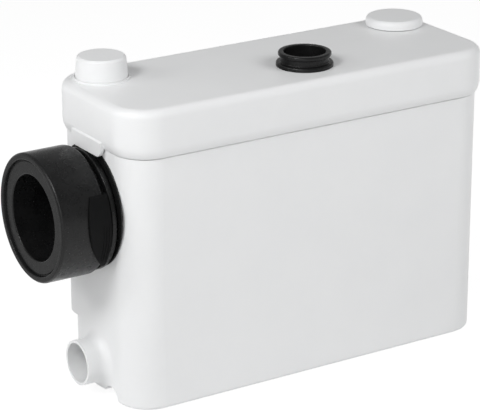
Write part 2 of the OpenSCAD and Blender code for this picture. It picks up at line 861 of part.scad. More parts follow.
module side_flap() {
    color(RUBBER)
        difference() {
            union() {
                translate([flap_x, 0, spigot_z])
                    rotate([0, 90, 0])
                        cylinder(r = flap_r, h = flap_t);
                translate([flap_x, -ear_y / 2, spigot_z])
                    cube([flap_t, ear_y, hinge_z - spigot_z]);
                translate([hinge_x, -ear_y + clear, hinge_z])
                    rotate([-90, 0, 0])
                        cylinder(r = knuckle_r - clear / 3, h = 2 * (ear_y - clear));
            }
            translate([hinge_x, -ear_y - cut, hinge_z])
                rotate([-90, 0, 0])
                    cylinder(r = pin_r + running, h = 2 * (ear_y + cut));
        }
}

module side_flap_pin() {
    color(STEEL)
        translate([hinge_x, -ear_y - ear_t, hinge_z])
            rotate([-90, 0, 0])
                cylinder(r = pin_r, h = 2 * (ear_y + ear_t));
}

module outlet_grommet() {
    groove = grommet_waist - 2 * push;
    lip_z = lid_top + grommet_h;
    soft = grommet_lip_t / 4;
    color(RUBBER)
        translate(grommet_at)
            rotate_extrude()
                polygon([
                    [grommet_bore, lid_under - grommet_lip_t],
                    [grommet_flange - soft, lid_under - grommet_lip_t],
                    [grommet_flange - soft, lid_under], [groove, lid_under], [groove, lid_top],
                    [grommet_flange, lid_top], [grommet_flange, lid_top + grommet_lip_t - soft],
                    [grommet_flange - soft, lid_top + grommet_lip_t],
                    [grommet_waist, lid_top + grommet_lip_t],
                    [grommet_waist, lip_z - grommet_lip_t], [grommet_lip - soft, lip_z - grommet_lip_t],
                    [grommet_lip, lip_z - grommet_lip_t + soft], [grommet_lip, lip_z - soft],
                    [grommet_lip - soft, lip_z], [grommet_bore, lip_z]]);
}

module vent_cap() {
    foot_z = lid_top + clear;
    top_z = lid_top + vent_h;
    color(WHITE)
        translate(vent_at)
            rotate_extrude()
                polygon([
                    [vent_neck_r + clear, foot_z], [vent_r, foot_z], [vent_top_r, top_z - vent_bevel],
                    [vent_top_r - vent_bevel, top_z], [0, top_z], [0, top_z - cap_t],
                    [vent_neck_r + clear, top_z - cap_t]]);
}

module vent_filter() {
    color(DARK)
        translate([vent_at[0], vent_at[1], lid_top + vent_neck_h - filter_h])
            cylinder(r = filter_r - push, h = filter_h);
}

module service_cap() {
    top_z = cap_z + cap_h;
    edge_h = cap_h / 3;
    plug_r = service_r - clear;
    color(WHITE)
        translate(service_at)
            rotate_extrude()
                polygon(concat(
                    [[0, cap_z], [plug_r - cap_t, cap_z], [plug_r - cap_t, cap_z - plug_h],
                     [plug_r, cap_z - plug_h], [plug_r, cap_z], [cap_r, cap_z], [cap_r, cap_z + edge_h]],
                    [for (i = [1 : steps]) let (a = 90 * i / steps)
                        [cap_r - cap_bevel * (1 - cos(a)), cap_z + edge_h + (cap_h - edge_h) * sin(a)]],
                    [[0, top_z]]));
}

module service_cap_seal() {
    color(DARK)
        translate(service_at)
            tube(cap_r - clear, service_r + clear, lid_top, lid_top + cap_seal_t);
}

module cord_grommet() {
    color(RUBBER)
        translate([cord_x, back_y, cord_z])
            rotate([90, 0, 0])
                rotate_extrude()
                    polygon([
                        [cord_hole, -cord_flange_t], [cord_flange, -cord_flange_t], [cord_flange, 0],
                        [cord_neck, 0], [cord_neck, wall], [cord_flange, wall],
                        [cord_flange, wall + cord_flange_t], [cord_hole, wall + cord_flange_t]]);
}

module pump_feet() {
    color(RUBBER)
        at_motor()
            around(3, volute_r - foot_r, foot_turn)
                translate([0, 0, floor_t])
                    cylinder(r = foot_r, h = foot_h);
}

module volute() {
    reach = grommet_x - motor_x;
    color(GREY)
        difference() {
            union() {
                at_motor()
                    translate([0, 0, volute_z])
                        cylinder(r = volute_r + volute_t, h = volute_h);
                translate([motor_x, grommet_y, outlet_z])
                    rotate([0, 90, 0])
                        cylinder(r = pipe_r, h = reach);
                translate([grommet_x, grommet_y, outlet_z - pipe_r - pipe_t])
                    cylinder(r = pipe_r + pipe_t, h = riser_z + socket_h - outlet_z + pipe_r + pipe_t);
            }
            at_motor() {
                translate([0, 0, volute_z + plate_t])
                    cylinder(r = volute_r, h = volute_h);
                around(4, pump_circle, screw_turn)
                    translate([0, 0, cover_z])
                        screw_hole(2 * volute_t);
            }
            translate([motor_x, grommet_y, outlet_z])
                rotate([0, 90, 0])
                    cylinder(r = discharge_bore, h = reach);
            translate([grommet_x, grommet_y, outlet_z - discharge_bore])
                cylinder(r = discharge_bore, h = riser_z + socket_h);
            translate([grommet_x, grommet_y, riser_z])
                cylinder(r = pipe_r + push, h = socket_h + cut);
        }
}

module volute_cover() {
    color(GREY)
        at_motor()
            difference() {
                tube(volute_r + volute_t, eye_r, cover_z, cover_z + plate_t);
                around(4, pump_circle, screw_turn)
                    translate([0, 0, cover_z + plate_t])
                        screw_hole(plate_t + cut);
            }
}

module impeller() {
    hub_r = shaft_r + 2 * vane_t;
    hub_h = plate_t + vane_h + vane_t / 2;
    color(BLACK)
        at_motor()
            difference() {
                union() {
                    translate([0, 0, impeller_z])
                        cylinder(r = impeller_r, h = plate_t);
                    translate([0, 0, impeller_z])
                        cylinder(r = hub_r, h = hub_h);
                    around(vane_n, hub_r - vane_t)
                        rotate(-vane_lean)
                            translate([0, -vane_t / 2, impeller_z + plate_t / 2])
                                cube([impeller_r - hub_r, vane_t, plate_t / 2 + vane_h]);
                }
                translate([0, 0, impeller_z - cut])
                    cylinder(r = shaft_r + running, h = hub_h + 2 * cut);
            }
}

module drive_shaft() {
    color(STEEL)
        at_motor()
            translate([0, 0, impeller_z])
                cylinder(r = shaft_r, h = shaft_top - impeller_z);
}

// Plan of the chute, from its mouth in the basket at x = 0 to the soil inlet.
module chute_block(inset, thick, over = 0) {
    inlet_half = neck_r - neck_t + inset;
    inlet_mid = inlet_y - motor_y;
    at_motor()
        translate([-basket_r + basket_t, 0, chute_lip])
            rotate([0, chute_slope, 0])
                translate([0, 0, -thick])
                    linear_extrude(chute_h + thick + over)
                        polygon([
                            [basket_t + over, -chute_w / 2 - inset],
                            [basket_t + over, chute_w / 2 + inset],
                            [-chute_l - over, inlet_mid + inlet_half],
                            [-chute_l - over, inlet_mid - inlet_half]]);
}

// The tub with its chute, before its screw bosses.
module basket_tub() {
    wall_gap = wall + 2 * clear;
    difference() {
        union() {
            at_motor()
                translate([0, 0, basket_z])
                    cylinder(r = basket_r, h = basket_h);
            intersection() {
                chute_block(basket_t, basket_t);
                plain_case(tank_l - 2 * wall_gap, tank_w - 2 * wall_gap, corner_r - wall_gap,
                           basket_z, tank_h);
            }
        }
        chute_block(0, 0, cut);
        at_motor() {
            translate([0, 0, basket_floor])
                cylinder(r = basket_r - basket_t, h = basket_h);
            translate([0, 0, basket_z - cut])
                cylinder(r = collar_r - collar_h, h = basket_t + 2 * cut);
            around(slot_n, basket_r)
                translate([-2 * basket_t, -slot_w / 2, basket_floor + slot_w])
                    cube([3 * basket_t, slot_w, slot_h]);
            around(slot_n / 2, basket_r / 2)
                translate([0, 0, basket_z - cut])
                    cylinder(r = slot_w / 2, h = basket_t + 2 * cut);
        }
    }
}

module basket() {
    color(DARK)
        difference() {
            union() {
                basket_tub();
                at_motor() {
                    around(4, screw_circle, screw_turn)
                        translate([0, 0, motor_plate_z - 4 * volute_t])
                            cylinder(r = head_r + clear, h = 4 * volute_t);
                    around(4, pump_circle, screw_turn)
                        translate([0, 0, cover_z + plate_t])
                            cylinder(r = head_r, h = suction_gap + basket_t / 2);
                }
            }
            at_motor() {
                around(4, screw_circle, screw_turn)
                    translate([0, 0, motor_plate_z])
                        screw_hole(3 * volute_t);
                around(4, pump_circle, screw_turn)
                    translate([0, 0, basket_floor])
                        screw_hole(suction_gap + 2 * basket_t);
            }
        }
}

module cutter_blade() {
    color(STEEL)
        at_motor()
            translate([0, 0, cutter_z])
                difference() {
                    union() {
                        translate([-blade_r, -blade_w / 2, 0])
                            cube([2 * blade_r, blade_w, blade_t]);
                        for (turn = [0, 180])
                            rotate(turn)
                                translate([blade_r - blade_t, -blade_w / 2, 0])
                                    cube([blade_t, blade_w, blade_tip_h]);
                    }
                    translate([0, 0, -cut])
                        cylinder(r = shaft_r + running, h = blade_t + 2 * cut);
                }
}

module blade_collars() {
    color(STEEL)
        at_motor() {
            tube(collar_r, shaft_r + running, cutter_z - collar_h, cutter_z);
            tube(collar_r, shaft_r + running, cutter_z + blade_t, cutter_z + blade_t + collar_h);
        }
}

module pump_screws() {
    color(STEEL)
        at_motor()
            around(4, pump_circle, screw_turn)
                translate([0, 0, basket_floor])
                    screw(basket_t + suction_gap + plate_t + volute_t);
}

module motor_plate() {
    color(GREY)
        at_motor()
            difference() {
                tube(motor_flange_r, seal_r + push, motor_plate_z, motor_plate_z + motor_plate_t);
                around(4, screw_circle, screw_turn)
                    translate([0, 0, shield_z])
                        screw_hole(motor_plate_t + cut);
            }
}

module shaft_seal() {
    color(RUBBER)
        at_motor()
            tube(seal_r, shaft_r + running, motor_plate_z, motor_plate_z + motor_plate_t);
}

module motor_shield() {
    color(GREY)
        at_motor()
            difference() {
                union() {
                    translate([0, 0, shield_z])
                        cylinder(r = motor_flange_r, h = flange_t);
                    translate([0, 0, shield_z])
                        cylinder(r = motor_r, h = shield_h);
                }
                translate([0, 0, lower_bearing_z])
                    cylinder(r = bearing_r + push, h = shield_h);
                translate([0, 0, shield_z - cut])
                    cylinder(r = shaft_r + clear, h = shield_h);
                around(4, screw_circle, screw_turn)
                    translate([0, 0, shield_z + flange_t])
                        screw_hole(flange_t + cut);
            }
}

module lower_bearing() {
    color(STEEL)
        at_motor()
            tube(bearing_r, shaft_r + running, lower_bearing_z, lower_bearing_z + bearing_h);
}

module upper_bearing() {
    color(STEEL)
        at_motor()
            tube(bearing_r, shaft_r + running, upper_bearing_z, upper_bearing_z + bearing_h);
}

module motor_can() {
    color(GREY)
        at_motor()
            tube(motor_r, motor_r - can_t, can_z, motor_cap_z);
}

module motor_cap() {
    color(DARK)
        at_motor()
            difference() {
                union() {
                    translate([0, 0, motor_cap_z])
                        cylinder(r = motor_r, h = motor_cap_h);
                    around(12, motor_r - can_t, 15)
                        translate([-can_t, -can_t / 2, motor_cap_z])
                            cube([2 * can_t, can_t, motor_cap_h]);
                }
                translate([0, 0, motor_cap_z - cut])
                    cylinder(r = bearing_r + push, h = cut + clear + bearing_h);
                translate([motor_r - 2 * can_t, 0, lead_end[2]])
                    rotate([0, 90, 0])
                        cylinder(r = lead_r + 2 * clear, h = 2 * can_t + cut);
            }
}

module stator_core() {
    color(GREY)
        at_motor()
            tube(stator_r, rotor_r + air_gap, core_z, core_z + core_h);
}

module winding_heads() {
    middle = (stator_r + rotor_r) / 2 + air_gap;
    half = (stator_r - rotor_r) / 2 - 2 * air_gap;
    color(COPPER)
        at_motor()
            for (z = [core_z - winding_h, core_z + core_h])
                tube(middle + half, middle - half, z, z + winding_h);
}

module rotor_core() {
    color(STEEL)
        at_motor()
            tube(rotor_r, shaft_r + running, core_z, core_z + core_h);
}

module motor_screws() {
    color(STEEL)
        at_motor()
            around(4, screw_circle, screw_turn)
                translate([0, 0, shield_z + flange_t])
                    screw(flange_t + motor_plate_t + 2 * volute_t);
}

module riser_pipe() {
    color(DARK)
        translate(grommet_at)
            tube(pipe_r, discharge_bore, riser_z, valve_z);
}

module valve_body() {
    color(DARK)
        translate(grommet_at)
            difference() {
                union() {
                    translate([0, 0, valve_z])
                        cylinder(r = valve_out, h = valve_h);
                    tube(pipe_r + pipe_t, pipe_r + push, valve_z - socket_h, valve_z);
                }
                translate([0, 0, valve_z - cut])
                    cylinder(r = discharge_bore, h = valve_floor + 2 * cut);
                translate([0, 0, valve_seat])
                    cylinder(r = valve_r, h = valve_h);
                translate([-valve_out, check_hinge_y - grommet_y, check_hinge_z])
                    rotate([0, 90, 0])
                        cylinder(r = pin_r + running, h = 2 * valve_out);
            }
}

module check_flap() {
    reach = check_hinge_y - grommet_y;
    half = sqrt(valve_r * valve_r - pow(reach + knuckle_r, 2)) - clear;
    color(RUBBER)
        difference() {
            union() {
                translate([grommet_x, grommet_y, check_z])
                    cylinder(r = check_r, h = flap_t);
                translate([grommet_x - half, check_hinge_y, check_hinge_z])
                    rotate([0, 90, 0])
                        cylinder(r = pin_r + flap_t / 2, h = 2 * half);
            }
            translate([grommet_x - valve_r, check_hinge_y, check_hinge_z])
                rotate([0, 90, 0])
                    cylinder(r = pin_r + running, h = 2 * valve_r);
        }
}

module check_flap_pin() {
    reach = check_hinge_y - grommet_y;
    half = sqrt(valve_out * valve_out - reach * reach) - clear;
    color(STEEL)
        translate([grommet_x - half, check_hinge_y, check_hinge_z])
            rotate([0, 90, 0])
                cylinder(r = pin_r, h = 2 * half);
}

module outlet_pipe() {
    color(DARK)
        translate(grommet_at)
            tube(valve_out, valve_r - pipe_t / 2, valve_z + valve_h, outlet_top);
}

module at_chamber() {
    translate([chamber_at[0], chamber_at[1], 0])
        children();
}

module pressure_chamber() {
    color(GREY)
        at_chamber()
            difference() {
                union() {
                    translate([0, 0, floor_t])
                        cylinder(r = chamber_r, h = chamber_top - floor_t);
                    translate([0, 0, chamber_top - plate_t])
                        cylinder(r = switch_r, h = plate_t);
                }
                translate([0, 0, floor_t - cut])
                    cylinder(r = chamber_r - chamber_t, h = chamber_top - floor_t - plate_t);
                for (turn = [0, 90])
                    rotate(turn)
                        translate([-chamber_r - cut, -chamber_r / 2, floor_t - cut])
                            cube([2 * (chamber_r + cut), chamber_r, chamber_mouth + cut]);
                translate([0, 0, chamber_top - 2 * plate_t])
                    cylinder(r = plunger_r, h = 3 * plate_t);
            }
}

module diaphragm() {
    color(RUBBER)
        at_chamber()
            translate([0, 0, chamber_top])
                cylinder(r = switch_r, h = diaphragm_t);
}

module switch_housing() {
    inside = switch_r - box_t;
    color(BLACK)
        at_chamber()
            difference() {
                translate([0, 0, switch_z])
                    cylinder(r = switch_r, h = switch_h);
                difference() {
                    translate([0, 0, switch_z - cut])
                        cylinder(r = inside, h = switch_h + 2 * cut);
                    translate([0, 0, bridge_z])
                        cylinder(r = inside + cut, h = plate_t);
                    lever_posts();
                }
                translate([0, 0, bridge_z - cut])
                    cylinder(r = plunger_r + running, h = plate_t + 2 * cut);
                translate([-inside, -lever_arm, lever_z + knuckle_r])
                    rotate([0, 90, 0])
                        cylinder(r = pin_r + running, h = 2 * inside);
            }
}

// Two posts on the bridge that carry the lever's pin.
module lever_posts() {
    for (side = [-1, 1])
        translate([side * 2 * plunger_r - plunger_r / 2, -lever_arm - knuckle_r, bridge_z])
            cube([plunger_r, 2 * knuckle_r, lever_z + 2 * knuckle_r - bridge_z]);
}

module switch_plunger() {
    tip_r = plunger_r / 4;
    color(WHITE)
        at_chamber() {
            translate([0, 0, plunger_z])
                cylinder(r = plunger_r, h = plunger_top - plunger_r / 2 - plunger_z);
            translate([0, 0, plunger_top - plunger_r])
                cylinder(r = tip_r, h = plunger_r);
        }
}

module switch_lever() {
    half = plunger_r;
    color(STEEL)
        at_chamber()
            difference() {
                union() {
                    translate([-half, -lever_arm, lever_z])
                        cube([2 * half, lever_arm + lever_reach, flap_t]);
                    translate([-half, -lever_arm, lever_z + knuckle_r])
                        rotate([0, 90, 0])
                            cylinder(r = knuckle_r - clear, h = 2 * half);
                }
                translate([-half - cut, -lever_arm, lever_z + knuckle_r])
                    rotate([0, 90, 0])
                        cylinder(r = pin_r + running, h = 2 * (half + cut));
            }
}

module lever_pin() {
    half = 2.5 * plunger_r;
    color(STEEL)
        at_chamber()
            translate([-half, -lever_arm, lever_z + knuckle_r])
                rotate([0, 90, 0])
                    cylinder(r = pin_r, h = 2 * half);
}

module micro_switch() {
    top_z = switch_z + switch_h;
    low_z = lever_z + flap_t + 2 * plunger_travel + clear;
    color(BLACK)
        at_chamber()
            translate([-plunger_r, -plunger_r, low_z])
                cube([2 * plunger_r, 3 * plunger_r, top_z - low_z]);
}

module switch_cover() {
    color(BLACK)
        at_chamber()
            translate([0, 0, switch_z + switch_h])
                cylinder(r = switch_r, h = plate_t);
}

module terminal_box() {
    color(GREY)
        translate([box_x, box_y, shelf_z])
            difference() {
                translate([-box_l / 2, -box_w / 2, 0])
                    cube([box_l, box_w, box_h]);
                translate([-box_l / 2 + box_t, -box_w / 2 + box_t, box_t])
                    cube([box_l - 2 * box_t, box_w - 2 * box_t, box_h]);
                translate([-box_l / 2 - cut, box_w / 4, lead_start[2] - shelf_z])
                    rotate([0, 90, 0])
                        cylinder(r = lead_r + 2 * clear, h = box_t + 2 * cut);
            }
}

module terminal_cover() {
    color(GREY)
        translate([box_x - box_l / 2, box_y - box_w / 2, shelf_z + box_h])
            cube([box_l, box_w, box_t]);
}

module capacitor() {
    stud_r = capacitor_r / 6;
    color(STEEL)
        translate([capacitor_at[0], capacitor_at[1], capacitor_z]) {
            cylinder(r = capacitor_r, h = capacitor_h);
            for (side = [-1, 1])
                translate([side * capacitor_r / 3, 0, capacitor_h])
                    cylinder(r = stud_r, h = 2 * stud_r);
        }
}

// Points of the lead, level at both ends and bowed towards the back and up between them.
function lead_point(t) = let (ease = (1 - cos(180 * t)) / 2, bow = pow(sin(180 * t), 2)) [
    lead_start[0] + (lead_end[0] - lead_start[0]) * t,
    lead_start[1] + (lead_end[1] - lead_start[1]) * ease + lead_side * bow,
    lead_start[2] + (lead_end[2] - lead_start[2]) * ease + lead_rise * bow];

module motor_lead() {
    n = 20;
    sides = 8;
    rings = [for (i = [0 : n]) let (p = lead_point(i / n))
        for (k = [0 : sides - 1])
            p + [0, lead_r * cos(360 * k / sides), lead_r * sin(360 * k / sides)]];
    walls = [for (i = [0 : n - 1], k = [0 : sides - 1]) let (j = (k + 1) % sides)
        each [[i * sides + k, i * sides + j, (i + 1) * sides + j],
              [i * sides + k, (i + 1) * sides + j, (i + 1) * sides + k]]];
    ends = concat(
        [for (k = [1 : sides - 2]) [0, k + 1, k]],
        [for (k = [1 : sides - 2]) [n * sides, n * sides + k, n * sides + k + 1]]);
    color(WHITE)
        polyhedron(rings, concat(walls, ends));
}

tank();
lid();
lid_gasket();
soil_sleeve();
sleeve_clip();
side_flap();
side_flap_pin();
outlet_grommet();
vent_cap();
vent_filter();
service_cap();
service_cap_seal();
cord_grommet();
pump_feet();
volute();
volute_cover();
impeller();
drive_shaft();
basket();
cutter_blade();
blade_collars();
pump_screws();
motor_plate();
shaft_seal();
motor_shield();
lower_bearing();
upper_bearing();
motor_can();
motor_cap();
stator_core();
winding_heads();
rotor_core();
motor_screws();
riser_pipe();
valve_body();
check_flap();
check_flap_pin();
outlet_pipe();
pressure_chamber();
diaphragm();
switch_housing();
switch_plunger();
switch_lever();
lever_pin();
micro_switch();
switch_cover();
terminal_box();
terminal_cover();
capacitor();
motor_lead();
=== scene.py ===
"""Macerator toilet pump: a white moulded tank and lid, black rubber fittings and the works inside."""

import json
import logging
from dataclasses import dataclass
from enum import Enum
from functools import cache
from math import atan2, cos, pi, radians, remainder, sin, sqrt, tan, tau
from typing import ClassVar, Sequence

import bmesh
import bpy
from mathutils import Matrix, Vector

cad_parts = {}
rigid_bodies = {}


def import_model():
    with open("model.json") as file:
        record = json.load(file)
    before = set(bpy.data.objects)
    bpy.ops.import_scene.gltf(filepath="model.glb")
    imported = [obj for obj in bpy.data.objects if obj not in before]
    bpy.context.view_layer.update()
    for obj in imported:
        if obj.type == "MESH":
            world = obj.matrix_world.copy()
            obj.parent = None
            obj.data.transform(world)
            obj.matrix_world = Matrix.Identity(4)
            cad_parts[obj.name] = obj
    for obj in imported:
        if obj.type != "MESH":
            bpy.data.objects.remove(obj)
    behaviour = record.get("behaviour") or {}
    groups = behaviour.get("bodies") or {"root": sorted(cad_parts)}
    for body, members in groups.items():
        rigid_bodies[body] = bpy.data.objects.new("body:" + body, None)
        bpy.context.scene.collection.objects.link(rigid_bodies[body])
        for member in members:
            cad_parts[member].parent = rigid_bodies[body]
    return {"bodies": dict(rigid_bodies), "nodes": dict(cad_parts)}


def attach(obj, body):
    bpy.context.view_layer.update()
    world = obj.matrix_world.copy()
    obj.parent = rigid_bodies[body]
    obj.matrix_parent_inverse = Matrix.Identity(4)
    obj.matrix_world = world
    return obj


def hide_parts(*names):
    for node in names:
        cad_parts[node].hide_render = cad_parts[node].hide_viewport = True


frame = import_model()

LOG = logging.getLogger("macerator_pump")
Pair = tuple[float, float]
Triple = tuple[float, float, float]
Colour = Triple
Socket = bpy.types.NodeSocket
Feeds = dict[str | int, object]
Mesh = bmesh.types.BMesh
Vert = bmesh.types.BMVert

# One millimetre in metres.
MM = 0.001
# The largest share of a side that one rounding takes up.
SIDE_SHARE = 0.49
# A sweep of more degrees than this closes on itself.
FULL_TURN = 359.9
# A point nearer to the axis than this, in millimetres, lies on it.
ON_AXIS = 1e-6
# Edges of a larger angle than this stay sharp, in degrees.
SHARP_ANGLE = 38.0
# Where the front lies round the soil inlet's axis, in degrees.
FRONT = 270


class Slot(Enum):
    """The finishes of the pump, by the names that its record gives them."""

    SHELL = "white_shell"
    RUBBER = "black_rubber"
    CLIP = "black_plastic"
    PUMP = "grey_plastic"
    PLUNGER = "inner_white"
    DARK = "dark_plastic"
    STEEL = "stainless_steel"
    CASTING = "cast_aluminium"
    IRON = "laminated_iron"
    COPPER = "copper_wire"
    FOAM = "filter_foam"
    LEAD = "lead_sheath"


class Body(Enum):
    """The bodies that the pieces built here move with."""

    HOUSING = "housing"
    LID = "lid"
    VENT_CAP = "vent_cap"
    SERVICE_CAP = "service_cap"


class Worked(Enum):
    """How a metal piece was brought to shape."""

    TURNED = "turned"
    CAST = "cast"


class Graph:
    """A node tree of a material or of the world, and the steps that wire it."""

    def __init__(self, tree: bpy.types.NodeTree) -> None:
        """Takes the tree that nodes are added to."""
        self.tree = tree

    def feed(self, node: bpy.types.Node, feeds: Feeds) -> None:
        """Gives a node's inputs what they need.

        Args:
            node: the node.
            feeds: outputs to link or constants to set, by the input's name or place.
        """
        for key, value in feeds.items():
            if isinstance(value, Socket):
                self.tree.links.new(value, node.inputs[key])
            else:
                node.inputs[key].default_value = value

    def node(self, kind: str, feeds: Feeds, **settings: object) -> bpy.types.NodeOutputs:
        """Adds a node.

        Args:
            kind: Blender's name of the node type, without its prefix.
            feeds: what its inputs get.
            settings: properties to set on it.

        Returns:
            The node's outputs.
        """
        made = self.tree.nodes.new("ShaderNode" + kind)
        for key, value in settings.items():
            setattr(made, key, value)
        self.feed(made, feeds)
        return made.outputs

    def spread(self, value: Socket, low: float, high: float, start: float = 0.3, end: float = 0.7) -> Socket:
        """Maps a value from the range of start and end onto that of low and high."""
        feeds = {"Value": value, "From Min": start, "From Max": end, "To Min": low, "To Max": high}
        return self.node("MapRange", feeds)[0]

    def combined(self, operation: str, one: Socket, other: Socket | float) -> Socket:
        """Combines two values by one of Blender's operations."""
        return self.node("Math", {0: one, 1: other}, operation=operation)[0]

    def shown(self, lit: Socket, seen: Socket) -> Socket:
        """Picks one of two shaders by what a ray was sent out for.

        Args:
            lit: the shader for rays that carry light to the pump.
            seen: the shader for rays of the camera, a mirror or glass.

        Returns:
            The shader that was picked.
        """
        path = self.node("LightPath", {})
        total = self.combined("MAXIMUM", path["Is Camera Ray"], path["Is Glossy Ray"])
        total = self.combined("MAXIMUM", total, path["Is Transmission Ray"])
        return self.node("MixShader", {0: total, 1: lit, 2: seen})[0]


class Shader(Graph):
    """The node graph of one material, with a principled surface at its end."""

    def __init__(self, name: str) -> None:
        """Starts a material.

        Args:
            name: what the material is called.
        """
        self.material = bpy.data.materials.new(name)
        self.material.use_nodes = True
        super().__init__(self.material.node_tree)
        self.surface = self.tree.nodes["Principled BSDF"]
        self.place = self.node("TexCoord", {})["Object"]

    def noise(self, size_mm: float, detail: float, stretch: Triple = (1, 1, 1)) -> Socket:
        """Adds clouds of a size, with a number of finer layers and a stretch, valued about 0.3 to 0.7."""
        vector = self.node("Mapping", {"Scale": stretch, "Vector": self.place})[0]
        return self.node("TexNoise", {"Scale": 1 / (size_mm * MM), "Detail": detail, "Vector": vector})[0]

    def cells(self, size_mm: float) -> Socket:
        """Adds cells of a size, valued by the distance to their middles."""
        return self.node("TexVoronoi", {"Scale": 1 / (size_mm * MM), "Vector": self.place})["Distance"]

    def bands(self, pitch_mm: float, wander: float) -> Socket:
        """Adds bands of a pitch up the piece, which wander from straight, valued 0 to 1."""
        # Blender's bands lie a tenth of pi apart at scale 1.
        feeds = {"Scale": pi / (10 * pitch_mm * MM), "Distortion": wander, "Vector": self.place}
        return self.node("TexWave", feeds, wave_type="BANDS", bands_direction="Z")[1]

    def sum(self, one: Socket, other: Socket) -> Socket:
        """Adds two values."""
        return self.combined("ADD", one, other)

    def part(self, value: Socket, share: float) -> Socket:
        """Gives a share of a value that goes from 0 to 1."""
        return self.spread(value, 0.0, share, 0.0, 1.0)

    def tint(self, value: Socket, dark: Colour, light: Colour) -> None:
        """Colours the surface between two colours.

        Args:
            value: where to be between them, from 0 to 1.
            dark: colour at 0.
            light: colour at 1.
        """
        made = self.tree.nodes.new("ShaderNodeValToRGB")
        made.color_ramp.elements[0].color = (*dark, 1)
        made.color_ramp.elements[1].color = (*light, 1)
        self.feed(made, {"Fac": value})
        self.give({"Base Color": made.outputs["Color"]})

    def give(self, feeds: Feeds) -> None:
        """Gives the surface's inputs what they need."""
        self.feed(self.surface, feeds)

    def rough(self, value: Socket, low: float, high: float) -> None:
        """Varies the surface's roughness between two values."""
        self.give({"Roughness": self.spread(value, low, high)})

    def soft_normal(self, radius_mm: float) -> Socket:
        """Gives a normal that is rounded at the edges, by a radius in millimetres."""
        return self.node("Bevel", {"Radius": radius_mm * MM}, samples=6)[0]

    def edges(self, normal: Socket) -> Socket:
        """Finds the edges.

        Args:
            normal: a normal that is rounded at the edges.

        Returns:
            A value that is 1 on the edges and 0 away from them.
        """
        plain = self.node("NewGeometry", {})["Normal"]
        dot = self.node("VectorMath", {0: normal, 1: plain}, operation="DOT_PRODUCT")
        return self.spread(dot["Value"], 0.0, 1.0, start=0.995, end=0.8)

    def facing_out(self) -> Socket:
        """Gives 1 where the surface faces straight out of the inlet end, less elsewhere."""
        normal = self.node("TexCoord", {})["Normal"]
        return self.combined("MULTIPLY", self.node("SeparateXYZ", {0: normal})["X"], -1.0)

    def relief(self, height: Socket, normal: Socket, depth_mm: float) -> Socket:
        """Raises a pattern on a normal, by a depth in millimetres, and gives the new normal."""
        feeds = {"Strength": 1.0, "Distance": depth_mm * MM, "Height": height, "Normal": normal}
        return self.node("Bump", feeds)[0]

    def face(self, height: Socket, normal: Socket, depth_mm: float) -> None:
        """Gives the surface a normal with a pattern raised on it, by a depth in millimetres."""
        self.give({"Normal": self.relief(height, normal, depth_mm)})


class Finish:
    """A finish of the pump's pieces."""

    def dress(self, shader: Shader) -> None:
        """Wires the finish into a material."""
        raise NotImplementedError


@dataclass(frozen=True)
class MouldedPlastic(Finish):
    """Smooth plastic from a mould, with a faint grain and slight sink marks.

    Attributes:
        dark: colour in the darker patches.
        light: colour in the lighter patches.
        rough: least and most roughness.
        edge_mm: radius of the edges.
        grain_mm: size of the grain.
        grain_depth_mm: depth of the grain.
        shine: specular level.
    """

    dark: Colour
    light: Colour
    rough: Pair = (0.34, 0.44)
    edge_mm: float = 0.8
    grain_mm: float = 0.9
    grain_depth_mm: float = 0.004
    shine: float = 0.5

    def dress(self, shader: Shader) -> None:
        """Wires the finish.

        Args:
            shader: the material's nodes.
        """
        normal = shader.soft_normal(self.edge_mm)
        cloud = shader.spread(shader.noise(size_mm=55, detail=3), 0.0, 0.8)
        flow = shader.spread(shader.noise(size_mm=9, detail=2, stretch=(1, 1, 0.3)), 0.0, 0.2)
        shader.tint(shader.sum(cloud, flow), self.dark, self.light)
        shader.rough(shader.noise(size_mm=16, detail=4), *self.rough)
        shader.give({"Specular IOR Level": self.shine})
        sunk = shader.relief(shader.noise(size_mm=70, detail=1), normal, depth_mm=0.05)
        shader.face(shader.noise(self.grain_mm, detail=2), sunk, self.grain_depth_mm)


@dataclass(frozen=True)
class MouldedRubber(Finish):
    """Black moulded rubber with fine pores, a grey bloom and edges that were rubbed bare.

    Attributes:
        dark: colour of clean rubber.
        bloom: colour of the bloom on it.
        rubbed: roughness of edges that were rubbed.
        rough: least and most roughness elsewhere.
        shine: specular level of the matt end faces and of the smooth sides.
    """

    dark: Colour = (0.006, 0.0061, 0.0062)
    bloom: Colour = (0.0115, 0.0116, 0.0118)
    rubbed: float = 0.2
    rough: Pair = (0.24, 0.34)
    shine: Pair = (0.07, 0.25)

    def dress(self, shader: Shader) -> None:
        """Wires the finish.

        Args:
            shader: the material's nodes.
        """
        normal = shader.soft_normal(radius_mm=0.7)
        edges = shader.edges(normal)
        bloom = shader.spread(shader.noise(size_mm=14, detail=5), 0.0, 0.8)
        shader.tint(shader.sum(bloom, shader.part(edges, 0.5)), self.dark, self.bloom)
        worn = shader.part(edges, self.rubbed - self.rough[0])
        even = shader.spread(shader.noise(size_mm=5, detail=4), *self.rough)
        level = shader.spread(shader.facing_out(), *self.shine, start=0.97, end=0.85)
        shader.give({"Roughness": shader.sum(even, worn), "Specular IOR Level": level})
        pores = shader.relief(shader.noise(size_mm=0.7, detail=3), normal, depth_mm=0.005)
        shader.face(shader.noise(size_mm=26, detail=2), pores, depth_mm=0.05)


